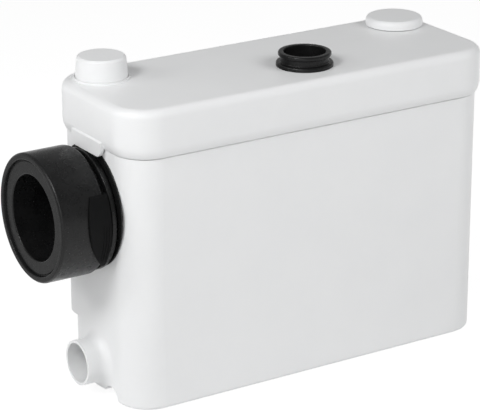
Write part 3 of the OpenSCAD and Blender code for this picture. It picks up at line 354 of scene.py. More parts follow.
@dataclass(frozen=True)
class WorkedMetal(Finish):
    """Bare metal, turned on a lathe or as it came out of the mould.

    Attributes:
        dark: colour of the dull patches.
        light: colour of the bright ones.
        worked: how the metal was brought to shape.
        rough: least and most roughness.
    """

    dark: Colour
    light: Colour
    worked: Worked
    rough: Pair = (0.2, 0.36)

    def dress(self, shader: Shader) -> None:
        """Wires the finish.

        Args:
            shader: the material's nodes.
        """
        normal = shader.soft_normal(radius_mm=0.4)
        shader.give({"Metallic": 1.0})
        patches = shader.spread(shader.noise(size_mm=18, detail=4), 0.0, 0.7)
        shader.tint(shader.sum(patches, shader.part(shader.edges(normal), 0.6)), self.dark, self.light)
        if self.worked is Worked.TURNED:
            marks = shader.bands(pitch_mm=0.35, wander=1.5)
            shader.rough(shader.noise(size_mm=4, detail=3, stretch=(1, 1, 8)), *self.rough)
            shader.face(marks, normal, depth_mm=0.006)
        else:
            marks = shader.noise(size_mm=1.4, detail=4)
            shader.rough(shader.noise(size_mm=7, detail=4), *self.rough)
            shader.face(marks, normal, depth_mm=0.09)


@dataclass(frozen=True)
class StackedIron(Finish):
    """Iron sheets stacked into a core, blued, with the edge of each sheet showing.

    Attributes:
        dark: colour between the sheets.
        light: colour of a sheet's edge.
        sheet_mm: thickness of a sheet.
    """

    dark: Colour = (0.03, 0.032, 0.038)
    light: Colour = (0.2, 0.21, 0.23)
    sheet_mm: float = 0.65

    def dress(self, shader: Shader) -> None:
        """Wires the finish.

        Args:
            shader: the material's nodes.
        """
        normal = shader.soft_normal(radius_mm=0.3)
        sheets = shader.bands(self.sheet_mm, wander=0.3)
        shader.give({"Metallic": 0.85})
        stains = shader.spread(shader.noise(size_mm=6, detail=4), 0.0, 0.3)
        shader.tint(shader.sum(shader.part(sheets, 0.7), stains), self.dark, self.light)
        shader.rough(shader.noise(size_mm=3, detail=3), 0.38, 0.6)
        shader.face(sheets, normal, depth_mm=0.08)


@dataclass(frozen=True)
class WoundCopper(Finish):
    """Enamelled copper wire, wound and varnished.

    Attributes:
        dark: colour in the grooves between the wires, which is painted shade.
        light: colour of the wires.
        wire_mm: thickness of a wire.
    """

    dark: Colour = (0.16, 0.045, 0.014)
    light: Colour = (0.62, 0.24, 0.085)
    wire_mm: float = 1.1

    def dress(self, shader: Shader) -> None:
        """Wires the finish.

        Args:
            shader: the material's nodes.
        """
        normal = shader.soft_normal(radius_mm=1.5)
        wires = shader.bands(self.wire_mm, wander=2.5)
        shader.give({"Metallic": 0.6, "Coat Weight": 0.5})
        varnish = shader.spread(shader.noise(size_mm=9, detail=3), 0.0, 0.25)
        # The grooves between the wires are painted darker as shade.
        shader.tint(shader.sum(shader.part(wires, 0.75), varnish), self.dark, self.light)
        shader.rough(shader.noise(size_mm=5, detail=3), 0.28, 0.45)
        shader.face(wires, normal, depth_mm=0.3)


@dataclass(frozen=True)
class OpenFoam(Finish):
    """Charcoal foam full of open cells.

    Attributes:
        dark: colour deep inside a cell, which is painted shade in its hollow.
        light: colour of the walls between cells.
        cell_mm: size of a cell.
    """

    dark: Colour = (0.006, 0.006, 0.006)
    light: Colour = (0.05, 0.05, 0.052)
    cell_mm: float = 1.4

    def dress(self, shader: Shader) -> None:
        """Wires the finish.

        Args:
            shader: the material's nodes.
        """
        normal = shader.soft_normal(radius_mm=0.8)
        cells = shader.cells(self.cell_mm)
        # The middles of the cells, the hollows of the foam, are painted darker as shade.
        shader.tint(shader.spread(cells, 0.0, 1.0, start=0.1, end=0.6), self.dark, self.light)
        shader.rough(shader.noise(size_mm=3, detail=3), 0.85, 0.98)
        shader.face(cells, normal, depth_mm=0.5)


@dataclass(frozen=True)
class DrawnSheath(Finish):
    """The soft sheath of a lead, with faint streaks from the die.

    Attributes:
        dark: colour of the streaks.
        light: colour of the sheath.
    """

    dark: Colour = (0.16, 0.16, 0.165)
    light: Colour = (0.24, 0.24, 0.245)

    def dress(self, shader: Shader) -> None:
        """Wires the finish.

        Args:
            shader: the material's nodes.
        """
        normal = shader.soft_normal(radius_mm=0.5)
        streaks = shader.noise(size_mm=2.2, detail=3, stretch=(0.1, 1, 1))
        shader.tint(shader.spread(streaks, 0.0, 1.0), self.dark, self.light)
        shader.rough(shader.noise(size_mm=4, detail=3), 0.42, 0.58)
        shader.face(streaks, normal, depth_mm=0.02)


FINISHES: dict[Slot, Finish] = {
    Slot.SHELL: MouldedPlastic(dark=(0.845, 0.852, 0.858), light=(0.862, 0.868, 0.872)),
    Slot.RUBBER: MouldedRubber(),
    Slot.CLIP: MouldedPlastic(
        dark=(0.004, 0.0041, 0.0042), light=(0.0075, 0.0076, 0.0078), rough=(0.5, 0.62),
        edge_mm=0.5, grain_mm=0.8, grain_depth_mm=0.006, shine=0.06,
    ),
    Slot.PUMP: MouldedPlastic(
        dark=(0.15, 0.155, 0.165), light=(0.19, 0.195, 0.205), rough=(0.42, 0.55), edge_mm=0.6,
    ),
    Slot.PLUNGER: MouldedPlastic(
        dark=(0.7, 0.7, 0.69), light=(0.76, 0.76, 0.75), rough=(0.3, 0.42), edge_mm=0.4,
    ),
    Slot.DARK: MouldedPlastic(
        dark=(0.028, 0.029, 0.031), light=(0.042, 0.043, 0.046), rough=(0.4, 0.54), edge_mm=0.5,
    ),
    Slot.STEEL: WorkedMetal(dark=(0.5, 0.51, 0.52), light=(0.68, 0.69, 0.7), worked=Worked.TURNED),
    Slot.CASTING: WorkedMetal(
        dark=(0.42, 0.43, 0.44), light=(0.58, 0.59, 0.6), worked=Worked.CAST, rough=(0.42, 0.6),
    ),
    Slot.IRON: StackedIron(),
    Slot.COPPER: WoundCopper(),
    Slot.FOAM: OpenFoam(),
    Slot.LEAD: DrawnSheath(),
}


@cache
def material(slot: Slot) -> bpy.types.Material:
    """Gives the material of a slot.

    Args:
        slot: the slot to look up.

    Returns:
        The slot's material, made on its first use.
    """
    shader = Shader(slot.value + "_finish")
    FINISHES[slot].dress(shader)
    return shader.material


@dataclass(frozen=True)
class Corner:
    """A corner of a turned outline, in millimetres.

    Attributes:
        r: distance from the axis.
        a: distance along the axis.
        soft: radius of its rounding.
    """

    r: float
    a: float
    soft: float = 0.0


def rounded(outline: Sequence[Corner], cuts: int = 4) -> list[Pair]:
    """Rounds the corners of a closed outline.

    Args:
        outline: its corners in order.
        cuts: edges on each rounding.

    Returns:
        The points of the rounded outline.
    """
    points = []
    spots = [Vector((corner.r, corner.a)) for corner in outline]
    for i, corner in enumerate(outline):
        here = spots[i]
        if corner.soft <= 0:
            points.append((here.x, here.y))
            continue
        back = spots[i - 1] - here
        ahead = spots[(i + 1) % len(spots)] - here
        half = back.angle(ahead) / 2
        reach = min(corner.soft / tan(half), back.length * SIDE_SHARE, ahead.length * SIDE_SHARE)
        middle = here + (back.normalized() + ahead.normalized()).normalized() * (reach / cos(half))
        first = here + back.normalized() * reach - middle
        last = here + ahead.normalized() * reach - middle
        start = atan2(first.y, first.x)
        turn = remainder(atan2(last.y, last.x) - start, tau)
        for k in range(cuts + 1):
            angle = start + turn * k / cuts
            r = middle.x + first.length * cos(angle)
            a = middle.y + first.length * sin(angle)
            points.append((r, a))
    return points


def skinned(mesh: Mesh, rows: Sequence[Sequence[Vert]]) -> None:
    """Lays faces between neighbouring rows of corners.

    Args:
        mesh: the mesh to add them to.
        rows: closed rows of corners, all of one length.
    """
    for one, other in zip(rows, rows[1:]):
        for i in range(len(one)):
            j = (i + 1) % len(one)
            corners = list(dict.fromkeys((one[i], one[j], other[j], other[i])))
            if len(corners) > 2:
                mesh.faces.new(corners)


def turned_point(place: Matrix, r: float, a: float, angle: float) -> Vector:
    """Gives the point at distances from and along an axis, in millimetres, and at an angle round it."""
    return place @ (Vector((r * cos(angle), r * sin(angle), a)) * MM)


def turned(
    outline: Sequence[Pair], place: Matrix, around: int, start: float = 0.0, sweep: float = 360.0
) -> Mesh:
    """Turns a closed outline about an axis.

    Args:
        outline: points of the outline, as distances from and along the axis in millimetres.
        place: the axis' place, in metres.
        around: edges of the whole sweep.
        start: angle of the first section in degrees.
        sweep: angle that the outline is turned through in degrees.

    Returns:
        The mesh, open for more to be added.
    """
    mesh = bmesh.new()
    whole = sweep > FULL_TURN
    poles = {}
    rows = []
    for k in range(around if whole else around + 1):
        angle = radians(start + sweep * k / around)
        row = []
        for r, a in outline:
            if r < ON_AXIS:
                if a not in poles:
                    poles[a] = mesh.verts.new(place @ Vector((0, 0, a * MM)))
                row.append(poles[a])
            else:
                row.append(mesh.verts.new(turned_point(place, r, a, angle)))
        rows.append(row)
    skinned(mesh, [*rows, rows[0]] if whole else rows)
    if not whole:
        mesh.faces.new(rows[0])
        mesh.faces.new(reversed(rows[-1]))
    return mesh


def placed(name: str, mesh: Mesh) -> bpy.types.Object:
    """Makes an object of a mesh.

    Args:
        name: what the object is called.
        mesh: its mesh, which is used up.

    Returns:
        The object, in the scene.
    """
    data = bpy.data.meshes.new(name)
    mesh.to_mesh(data)
    mesh.free()
    made = bpy.data.objects.new(name, data)
    bpy.context.scene.collection.objects.link(made)
    return made


def upright(axis: Pair) -> Matrix:
    """Gives the place of an upright axis from where it stands, in millimetres."""
    return Matrix.Translation(Vector((*axis, 0)) * MM)


@dataclass
class SubAssembly:
    """A group of pieces that belong together. Its sizes are in millimetres.

    Attributes:
        dressed: names of the CAD nodes that keep their shape, by their finish.
    """

    dressed: ClassVar[dict[Slot, tuple[str, ...]]] = {}

    def build(self) -> None:
        """Gives the nodes that keep their shape their finishes."""
        for slot, nodes in self.dressed.items():
            for name in nodes:
                mesh = frame["nodes"][name].data
                if not mesh.materials:
                    mesh.materials.append(None)
                for i in range(len(mesh.materials)):
                    mesh.materials[i] = material(slot)
                LOG.info("%s dressed in %s", name, slot.value)

    def fit(self, name: str, mesh: Mesh, node: str, body: Body, slot: Slot) -> None:
        """Puts a new piece, smooth but for its sharp edges, in place of a CAD node.

        Args:
            name: what the piece is called.
            mesh: its mesh, which is used up.
            node: the node that it stands for.
            body: what it moves with.
            slot: its finish.
        """
        bmesh.ops.recalc_face_normals(mesh, faces=mesh.faces)
        piece = placed(name, mesh)
        piece.data.shade_smooth()
        piece.data.set_sharp_from_angle(angle=radians(SHARP_ANGLE))
        piece.modifiers.new("even_normals", "WEIGHTED_NORMAL").keep_sharp = True
        piece.data.materials.append(material(slot))
        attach(piece, body.value)
        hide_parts(node)
        LOG.info("%s built in place of %s, in %s", piece.name, node, slot.value)


@dataclass
class Shell(SubAssembly):
    """The tank, the lid on it and the gasket between them."""

    dressed = {Slot.SHELL: ("tank", "lid"), Slot.DARK: ("lid_gasket",)}


@dataclass
class SoilInlet(SubAssembly):
    """The rubber sleeve on the inlet neck and the clip round it.

    Attributes:
        axis: where the inlet's axis leaves the tank's end.
        neck_r: inner radius of the sleeve on the neck.
        neck_bore: radius of the lining against the neck's bore.
        neck_end: how far the neck goes in.
        lining_r: radius of the lining inside the neck.
        flange_r: radius of the flange on the tank's end.
        flange_t: thickness of the flange.
        flange_off: how far the flange's middle lies above and in front of the axis.
        groove_r: radius at the bottom of the grooves.
        ridge_r: radius of the ridge between the grooves.
        ridge_at: where the ridge begins and ends along the axis.
        ridge_off: how far the ridge's middle lies above and in front of the axis.
        shoulder_at: where the sleeve's shoulder begins.
        shoulder_r: rounding of the shoulder.
        sleeve_r: radius of the sleeve.
        sleeve_l: length of the sleeve.
        rim: width of the rim at the open end.
        rim_soft: rounding of the rim's outer edge.
        rim_slant: how much further in than its top the rim's foot lies.
        rim_groove: width and depth of the groove at the rim's foot.
        face_at: where the face inside the rim lies.
        bore_r: radius of the bore.
        bore_l: length of the bore.
        bore_soft: rounding at both ends of the taper.
        taper: length of the widening behind the bore.
        collar_lift: gap between the flange and the tank's end.
        collar_least: least height of a collar.
        collar_soft: most rounding of a collar's rim, and as a share of its thickness.
        collar_cuts: edges round a collar.
        clip_gap: gap between the clip and the groove, and from the pad's foot to the clip's end.
        clip_cuts: edges round the clip.
        clip_from: angle where the clip begins, from the top.
        clip_sweep: angle that it goes round.
        clip_at: where the clip begins and ends along the axis.
        pad_r: inner radius of the pad on the clip's front leg.
        pad_t: thickness of the pad.
        pad_root: how far the pad's root goes below its inner face.
        pad_least: least width of the pad.
        pad_soft: rounding of its edge on the clip.
        pad_lip: rounding of its free edge.
        pad_cut: depth of a rounding's middle from the outer face, and from the free edge.
        pad_slant: how much shorter the free edge is on the sleeve.
        pad_rows: sections from its upper end to its tip.
        pad_at: where the pad begins and is widest along the axis.
        pad_top: angle of the pad's upper end above the axis.
        pad_tip: angle of its tip below the axis.
        pad_edge: radius of its curved edge.
        pad_mid: height of its widest place above the axis.
        ribs: where the grooves between the pad's ribs lie from its root.
        rib_half: half the width of a groove.
        rib_depth: depth of a groove.
        rib_room: width of the pad that the grooves leave free, and the width past it that they fill.
        rib_flat: squeeze of the grooves at which they are flat.
        rib_fade: angles above the axis where the grooves begin and are fully deep.
    """

    axis: Triple = (-201.8, 12.0, 182.4)
    neck_r: float = 50.1
    neck_bore: float = 45.9
    neck_end: float = 30.3
    lining_r: float = 43.4
    flange_r: float = 58.5
    flange_t: float = 1.4
    flange_off: Pair = (4.4, 7.4)
    groove_r: float = 53.5
    ridge_r: float = 58.0
    ridge_at: Pair = (2.8, 8.0)
    ridge_off: Pair = (0.0, 2.8)
    shoulder_at: float = 12.1
    shoulder_r: float = 8.0
    sleeve_r: float = 61.4
    sleeve_l: float = 60.0
    rim: float = 6.0
    rim_soft: float = 2.4
    rim_slant: float = 0.75
    rim_groove: float = 1.2
    face_at: float = 57.6
    bore_r: float = 41.0
    bore_l: float = 22.0
    bore_soft: float = 30.0
    taper: float = 16.0
    collar_lift: float = 0.02
    collar_least: float = 1.0
    collar_soft: Pair = (0.9, 0.35)
    collar_cuts: int = 160
    clip_gap: float = 0.1
    clip_cuts: int = 120
    clip_from: float = 58.0
    clip_sweep: float = 244.0
    clip_at: Pair = (8.3, 11.8)
    pad_r: float = 61.7
    pad_t: float = 2.0
    pad_root: float = 3.4
    pad_least: float = 2.4
    pad_soft: float = 0.7
    pad_lip: float = 0.8
    pad_cut: Pair = (0.2, 0.25)
    pad_slant: float = 0.1
    pad_rows: int = 56
    pad_at: Pair = (10.05, 33.05)
    pad_top: float = 30.0
    pad_tip: float = 41.0
    pad_edge: float = 65.0
    pad_mid: float = 5.0
    ribs: tuple[float, ...] = (2.4, 5.2, 8.0)
    rib_half: float = 0.7
    rib_depth: float = 0.6
    rib_room: Pair = (1.6, 11.0)
    rib_flat: float = 0.2
    rib_fade: Pair = (5.0, 1.0)

    def build(self) -> None:
        """Makes the sleeve and its clip."""
        self.fit("inlet_sleeve", self.sleeve(), "soil_sleeve", Body.HOUSING, Slot.RUBBER)
        self.fit("inlet_clip", self.clip(), "sleeve_clip", Body.HOUSING, Slot.CLIP)

    def place(self) -> Matrix:
        """Gives the frame whose z points out of the tank's end and whose x points up."""
        return Matrix.Translation(Vector(self.axis) * MM) @ Matrix.Rotation(radians(-90), 4, "Y")

    def sleeve(self) -> Mesh:
        """Turns the sleeve with its collars, shoulder, rim and bore.

        Returns:
            The sleeve's mesh.
        """
        foot = self.sleeve_r - self.rim - self.rim_slant
        bore_end = self.face_at - self.bore_l
        outline = [
            Corner(self.neck_r, 0, 0.3),
            Corner(self.groove_r, 0),
            Corner(self.groove_r, self.shoulder_at, 0.8),
            Corner(self.sleeve_r, self.shoulder_at, self.shoulder_r),
            Corner(self.sleeve_r, self.sleeve_l, self.rim_soft),
            Corner(self.sleeve_r - self.rim, self.sleeve_l, 0.9),
            Corner(foot, self.face_at - self.rim_groove, 0.4),
            Corner(foot - self.rim_groove, self.face_at - self.rim_groove, 0.4),
            Corner(foot - self.rim_groove, self.face_at, 0.5),
            Corner(self.bore_r, self.face_at, 1.2),
            Corner(self.bore_r, bore_end, self.bore_soft),
            Corner(self.lining_r, bore_end - self.taper, self.bore_soft),
            Corner(self.lining_r, self.flange_t, 0.4),
            Corner(self.neck_bore, self.flange_t, 0.4),
            Corner(self.neck_bore, self.neck_end, 0.3),
            Corner(self.neck_r, self.neck_end, 0.2),
        ]
        mesh = turned(rounded(outline, cuts=6), self.place(), around=144)
        self.collar(mesh, self.flange_r, self.flange_off, (self.collar_lift, self.flange_t))
        self.collar(mesh, self.ridge_r, self.ridge_off, self.ridge_at)
        return mesh

    def collar(self, mesh: Mesh, radius: float, off: Pair, at: Pair) -> None:
        """Adds a collar whose rim reaches further to the front than to the rear.

        Args:
            mesh: the sleeve's mesh.
            radius: radius of the rim.
            off: how far the rim's middle lies above and in front of the axis.
            at: where the collar begins and ends along the axis.
        """
        up, front = off
        low, high = at
        most, share = self.collar_soft
        soft = min(most, share * (high - low))
        inner = (self.neck_r + self.groove_r) / 2
        rings = []
        for k in range(self.collar_cuts):
            angle = tau * k / self.collar_cuts
            along = up * cos(angle) - front * sin(angle)
            across = up * sin(angle) + front * cos(angle)
            rim = max(along + sqrt(radius ** 2 - across ** 2), inner + self.collar_least)
            side = rounded([
                Corner(inner, low),
                Corner(rim, low, soft),
                Corner(rim, high, soft),
                Corner(inner, high),
            ])
            rings.append(self.ring(mesh, side, angle))
        skinned(mesh, [*rings, rings[0]])

    def ring(self, mesh: Mesh, side: Sequence[Pair], angle: float) -> list[Vert]:
        """Adds the corners of a section at an angle round the inlet's axis."""
        return [mesh.verts.new(turned_point(self.place(), r, a, angle)) for r, a in side]

    def clip(self) -> Mesh:
        """Turns the clip's ring and adds the pad on its front leg.

        Returns:
            The clip's mesh.
        """
        inner = self.groove_r + self.clip_gap
        start, end = self.clip_at
        outline = [
            Corner(inner, start, 0.3),
            Corner(self.ridge_r, start, 0.6),
            Corner(self.ridge_r, end, 0.6),
            Corner(inner, end, 0.3),
        ]
        mesh = turned(rounded(outline), self.place(), self.clip_cuts, self.clip_from, self.clip_sweep)
        self.pad(mesh)
        return mesh

    def pad(self, mesh: Mesh) -> None:
        """Adds the pad, a curved leaf on the sleeve that narrows to a tip below.

        Args:
            mesh: the clip's mesh.
        """
        rings = []
        for k in range(self.pad_rows + 1):
            turn = self.pad_top - (self.pad_top + self.pad_tip) * k / self.pad_rows
            low = self.pad_soft if k in (0, self.pad_rows) else 0.0
            rings.append(self.ring(mesh, self.pad_side(turn, low), radians(FRONT + turn)))
        skinned(mesh, rings)
        mesh.faces.new(rings[0])
        mesh.faces.new(reversed(rings[-1]))

    def pad_side(self, turn: float, low: float) -> list[Pair]:
        """Gives a section across the pad.

        Args:
            turn: angle of the section above the axis, in degrees.
            low: how far the section's outer face is lowered.

        Returns:
            Points of the section, from the root's foot round the outer face and back.
        """
        root, widest = self.pad_at
        outer = self.pad_r + self.pad_t
        foot = self.pad_r - self.pad_root
        cut, edge_cut = self.pad_cut
        height = outer * sin(radians(turn))
        reach = widest - self.pad_edge + sqrt(self.pad_edge ** 2 - (height - self.pad_mid) ** 2)
        reach = max(reach, root + self.pad_least)
        side = [
            (foot, root),
            (outer - self.pad_soft, root),
            (outer - cut - low, root + cut),
            (outer - low, root + self.pad_soft),
        ]
        free, filled = self.rib_room
        squeeze = min(1.0, (reach - root - free) / filled)
        begin, full = self.rib_fade
        fade = min(1.0, max(0.0, (begin - turn) / (begin - full)))
        dip = self.rib_depth * max(0.0, squeeze - self.rib_flat) * fade
        for rib in self.ribs:
            middle = root + self.pad_soft + rib * squeeze
            half = self.rib_half * squeeze
            side += [
                (outer - low, middle - half),
                (outer - low - dip, middle - half / 2),
                (outer - low - dip, middle + half / 2),
                (outer - low, middle + half),
            ]
        clip_end = self.clip_at[1] - self.clip_gap
        return side + [
            (outer - low, reach - self.pad_lip),
            (outer - cut - low, reach - edge_cut),
            (outer - self.pad_lip, reach),
            (self.pad_r, reach - self.pad_slant),
            (self.pad_r, clip_end),
            (foot, clip_end),
        ]


@dataclass
class SideInlet(SubAssembly):
    """The flap behind the side inlet and its pin."""

    dressed = {Slot.RUBBER: ("side_flap",), Slot.STEEL: ("side_flap_pin",)}


@dataclass
class OutletGrommet(SubAssembly):
    """The rubber grommet that seals the outlet pipe in the lid.

    Attributes:
        axis: the grommet's axis.
        bore: radius of its bore.
        waist: radius of its waist.
        lip: radius of its upper lip.
        flange: radius of the flange on the lid.
        lower: radius of the flange under the lid.
        seat: radius in the lid's hole.
        lip_t: thickness of the lip and the flanges.
        under: height of the lid's inner face.
        lid: height of the lid's top.
        top: height of the grommet's top.
    """

    axis: Pair = (15.0, -27.0)
    bore: float = 20.3
    waist: float = 23.2
    lip: float = 25.5
    flange: float = 27.5
    lower: float = 26.5
    seat: float = 23.0
    lip_t: float = 4.0
    under: float = 291.5
    lid: float = 295.0
    top: float = 309.0

    def build(self) -> None:
        """Turns the grommet."""
        outline = [
            Corner(self.bore, self.under - self.lip_t, 0.8),
            Corner(self.lower, self.under - self.lip_t, 1.2),
            Corner(self.lower, self.under, 0.4),
            Corner(self.seat, self.under, 0.2),
            Corner(self.seat, self.lid, 0.2),
            Corner(self.flange, self.lid, 0.4),
            Corner(self.flange, self.lid + self.lip_t, 1.6),
            Corner(self.waist, self.lid + self.lip_t, 0.8),
            Corner(self.waist, self.top - self.lip_t, 0.8),
            Corner(self.lip, self.top - self.lip_t, 1.3),
            Corner(self.lip, self.top, 1.5),
            Corner(self.bore, self.top, 0.9),
        ]
        mesh = turned(rounded(outline, cuts=5), upright(self.axis), around=144)
        self.fit("outlet_seal", mesh, "outlet_grommet", Body.LID, Slot.RUBBER)


@dataclass
class VentCap(SubAssembly):
    """The vent cap and the charcoal disc under it.

    Attributes:
        axis: the cap's axis.
        foot_r: radius at the foot.
        top_r: radius at the top.
        neck_r: radius of the bore over the vent's neck.
        foot: height of the foot.
        top: height of the top.
        wall: thickness of the top.
        bevel: width of the bevel round the top.
    """

    dressed = {Slot.FOAM: ("vent_filter",)}
    axis: Pair = (-167.5, 41.5)
    foot_r: float = 25.0
    top_r: float = 23.4
    neck_r: float = 18.3
    foot: float = 295.3
    top: float = 317.0
    wall: float = 2.4
    bevel: float = 2.0

    def build(self) -> None:
        """Turns the cap and dresses the disc."""
        outline = [
            Corner(self.neck_r, self.foot, 0.5),
            Corner(self.foot_r, self.foot, 0.5),
            Corner(self.top_r, self.top - self.bevel, 0.9),
            Corner(self.top_r - self.bevel, self.top, 1.0),
            Corner(0, self.top),
            Corner(0, self.top - self.wall),
            Corner(self.neck_r, self.top - self.wall, 0.8),
        ]
        mesh = turned(rounded(outline, cuts=5), upright(self.axis), around=96)
        self.fit("vent_hood", mesh, "vent_cap", Body.VENT_CAP, Slot.SHELL)
        super().build()


@dataclass
class ServiceCap(SubAssembly):
    """The low domed cap over the service hole and its seal.

    Attributes:
        axis: the cap's axis.
        cap_r: radius of the cap.
        plug_r: radius of the plug under it.
        wall: thickness of the plug.
        seat: height of the cap's lower face.
        lip_h: how far the cap's edge reaches below that face.
        lip_t: thickness of that edge.
        seal: inner and outer radius of the seal.
        seal_drop: how far the seal reaches below the cap's edge.
        plug_h: length of the plug.
        edge_h: height of the upright edge.
        height: height of the cap.
        bevel: width of its rounded shoulder.
        dome_cuts: edges on that shoulder.
    """

    axis: Pair = (170.5, 42.4)
    cap_r: float = 28.7
    plug_r: float = 23.7
    wall: float = 2.4
    seat: float = 296.5
    lip_h: float = 0.9
    lip_t: float = 1.2
    seal: Pair = (24.3, 27.3)
    seal_drop: float = 0.6
    plug_h: float = 9.0
    edge_h: float = 2.6
    height: float = 7.8
    bevel: float = 4.0
    dome_cuts: int = 12

    def build(self) -> None:
        """Turns the cap and its seal."""
        top = self.seat + self.height
        edge = self.seat - self.lip_h
        under = [
            Corner(0, self.seat),
            Corner(self.plug_r - self.wall, self.seat, 0.4),
            Corner(self.plug_r - self.wall, self.seat - self.plug_h, 0.5),
            Corner(self.plug_r, self.seat - self.plug_h, 0.8),
            Corner(self.plug_r, self.seat, 0.3),
            Corner(self.cap_r - self.lip_t, self.seat, 0.2),
            Corner(self.cap_r - self.lip_t, edge, 0.2),
            Corner(self.cap_r, edge, 0.4),
        ]
        # The last two corners close the outline for the rounding, and the dome then takes their place.
        outline = rounded([*under, Corner(self.cap_r, self.seat + self.edge_h), Corner(0, top)])[: -2]
        for k in range(self.dome_cuts + 1):
            angle = radians(90 * k / self.dome_cuts)
            outline.append((
                self.cap_r - self.bevel * (1 - cos(angle)),
                self.seat + self.edge_h + (self.height - self.edge_h) * sin(angle),
            ))
        outline.append((0, top))
        place = upright(self.axis)
        mesh = turned(outline, place, around=112)
        self.fit("service_lid", mesh, "service_cap", Body.SERVICE_CAP, Slot.SHELL)
        inner, outer = self.seal
        ring = [
            Corner(inner, edge - self.seal_drop, 0.2),
            Corner(outer, edge - self.seal_drop, 0.4),
            Corner(outer, self.seat, 0.4),
            Corner(inner, self.seat, 0.2),
        ]
        mesh = turned(rounded(ring), place, around=112)
        self.fit("service_seal", mesh, "service_cap_seal", Body.LID, Slot.DARK)


@dataclass
class CordEntry(SubAssembly):
    """The rubber grommet for the mains cord in the rear wall.

    Attributes:
        axis: where its axis meets the wall's outer face.
        hole: radius of the hole for the cord.
        neck: radius in the wall.
        flange: radius of its flanges.
        flange_t: thickness of a flange.
        wall: thickness of the wall.
    """

    axis: Triple = (120.0, 72.7, 222.0)
    hole: float = 4.5
    neck: float = 8.0
    flange: float = 11.5
    flange_t: float = 2.6
    wall: float = 3.5

    def build(self) -> None:
        """Turns the grommet."""
        outline = [
            Corner(self.hole, -self.flange_t, 0.5),
            Corner(self.flange, -self.flange_t, 1.2),
            Corner(self.flange, 0, 0.3),
            Corner(self.neck, 0, 0.2),
            Corner(self.neck, self.wall, 0.2),
            Corner(self.flange, self.wall, 0.3),
            Corner(self.flange, self.wall + self.flange_t, 1.2),
            Corner(self.hole, self.wall + self.flange_t, 0.5),
        ]
        place = Matrix.Translation(Vector(self.axis) * MM) @ Matrix.Rotation(radians(90), 4, "X")
        mesh = turned(rounded(outline), place, around=72)
        self.fit("cord_seal", mesh, "cord_grommet", Body.HOUSING, Slot.RUBBER)


@dataclass
class PumpUnit(SubAssembly):
    """The pump chamber, the basket round the cutter and what turns in them."""

    dressed = {
        Slot.RUBBER: ("pump_feet",),
        Slot.PUMP: ("volute", "volute_cover", "impeller"),
        Slot.DARK: ("basket",),
        Slot.STEEL: ("drive_shaft", "cutter_blade", "blade_collars", "pump_screws"),
    }


@dataclass
class MotorUnit(SubAssembly):
    """The motor over the basket."""

    dressed = {
        Slot.PUMP: ("motor_plate",),
        Slot.RUBBER: ("shaft_seal",),
        Slot.CASTING: ("motor_shield", "motor_can", "motor_cap"),
        Slot.STEEL: ("lower_bearing", "upper_bearing", "motor_screws"),
        Slot.IRON: ("stator_core", "rotor_core"),
        Slot.COPPER: ("winding_heads",),
    }


@dataclass
class Discharge(SubAssembly):
    """The riser, the check valve and the outlet pipe."""

    dressed = {
        Slot.PUMP: ("riser_pipe", "valve_body", "outlet_pipe"),
        Slot.RUBBER: ("check_flap",),
        Slot.STEEL: ("check_flap_pin",),
    }


@dataclass
class LevelSwitch(SubAssembly):
    """The pressure chamber and the switch that its diaphragm works."""

    dressed = {
        Slot.PUMP: ("pressure_chamber",),
        Slot.RUBBER: ("diaphragm",),
        Slot.DARK: ("switch_housing", "micro_switch", "switch_cover"),
        Slot.PLUNGER: ("switch_plunger",),
        Slot.STEEL: ("switch_lever", "lever_pin"),
    }


@dataclass
class Electrics(SubAssembly):
    """The terminal box, the run capacitor and the motor's lead."""

    dressed = {
        Slot.DARK: ("terminal_box",),
        Slot.PUMP: ("terminal_cover", "capacitor"),
        Slot.LEAD: ("motor_lead",),
    }


@dataclass(frozen=True)
class SoftBox:
    """A large soft lamp.

    Attributes:
        name: what it is called.
        azimuth: where it stands round the pump, in degrees from the front to the right.
        elevation: how high it stands, in degrees.
        distance: how far it stands from the pump, in metres.
        size: width and height in metres.
        power: its power in watts.
        mirrored: whether glossy pieces show it.
    """

    name: str
    azimuth: float
    elevation: float
    distance: float
    size: Pair
    power: float
    mirrored: bool = True


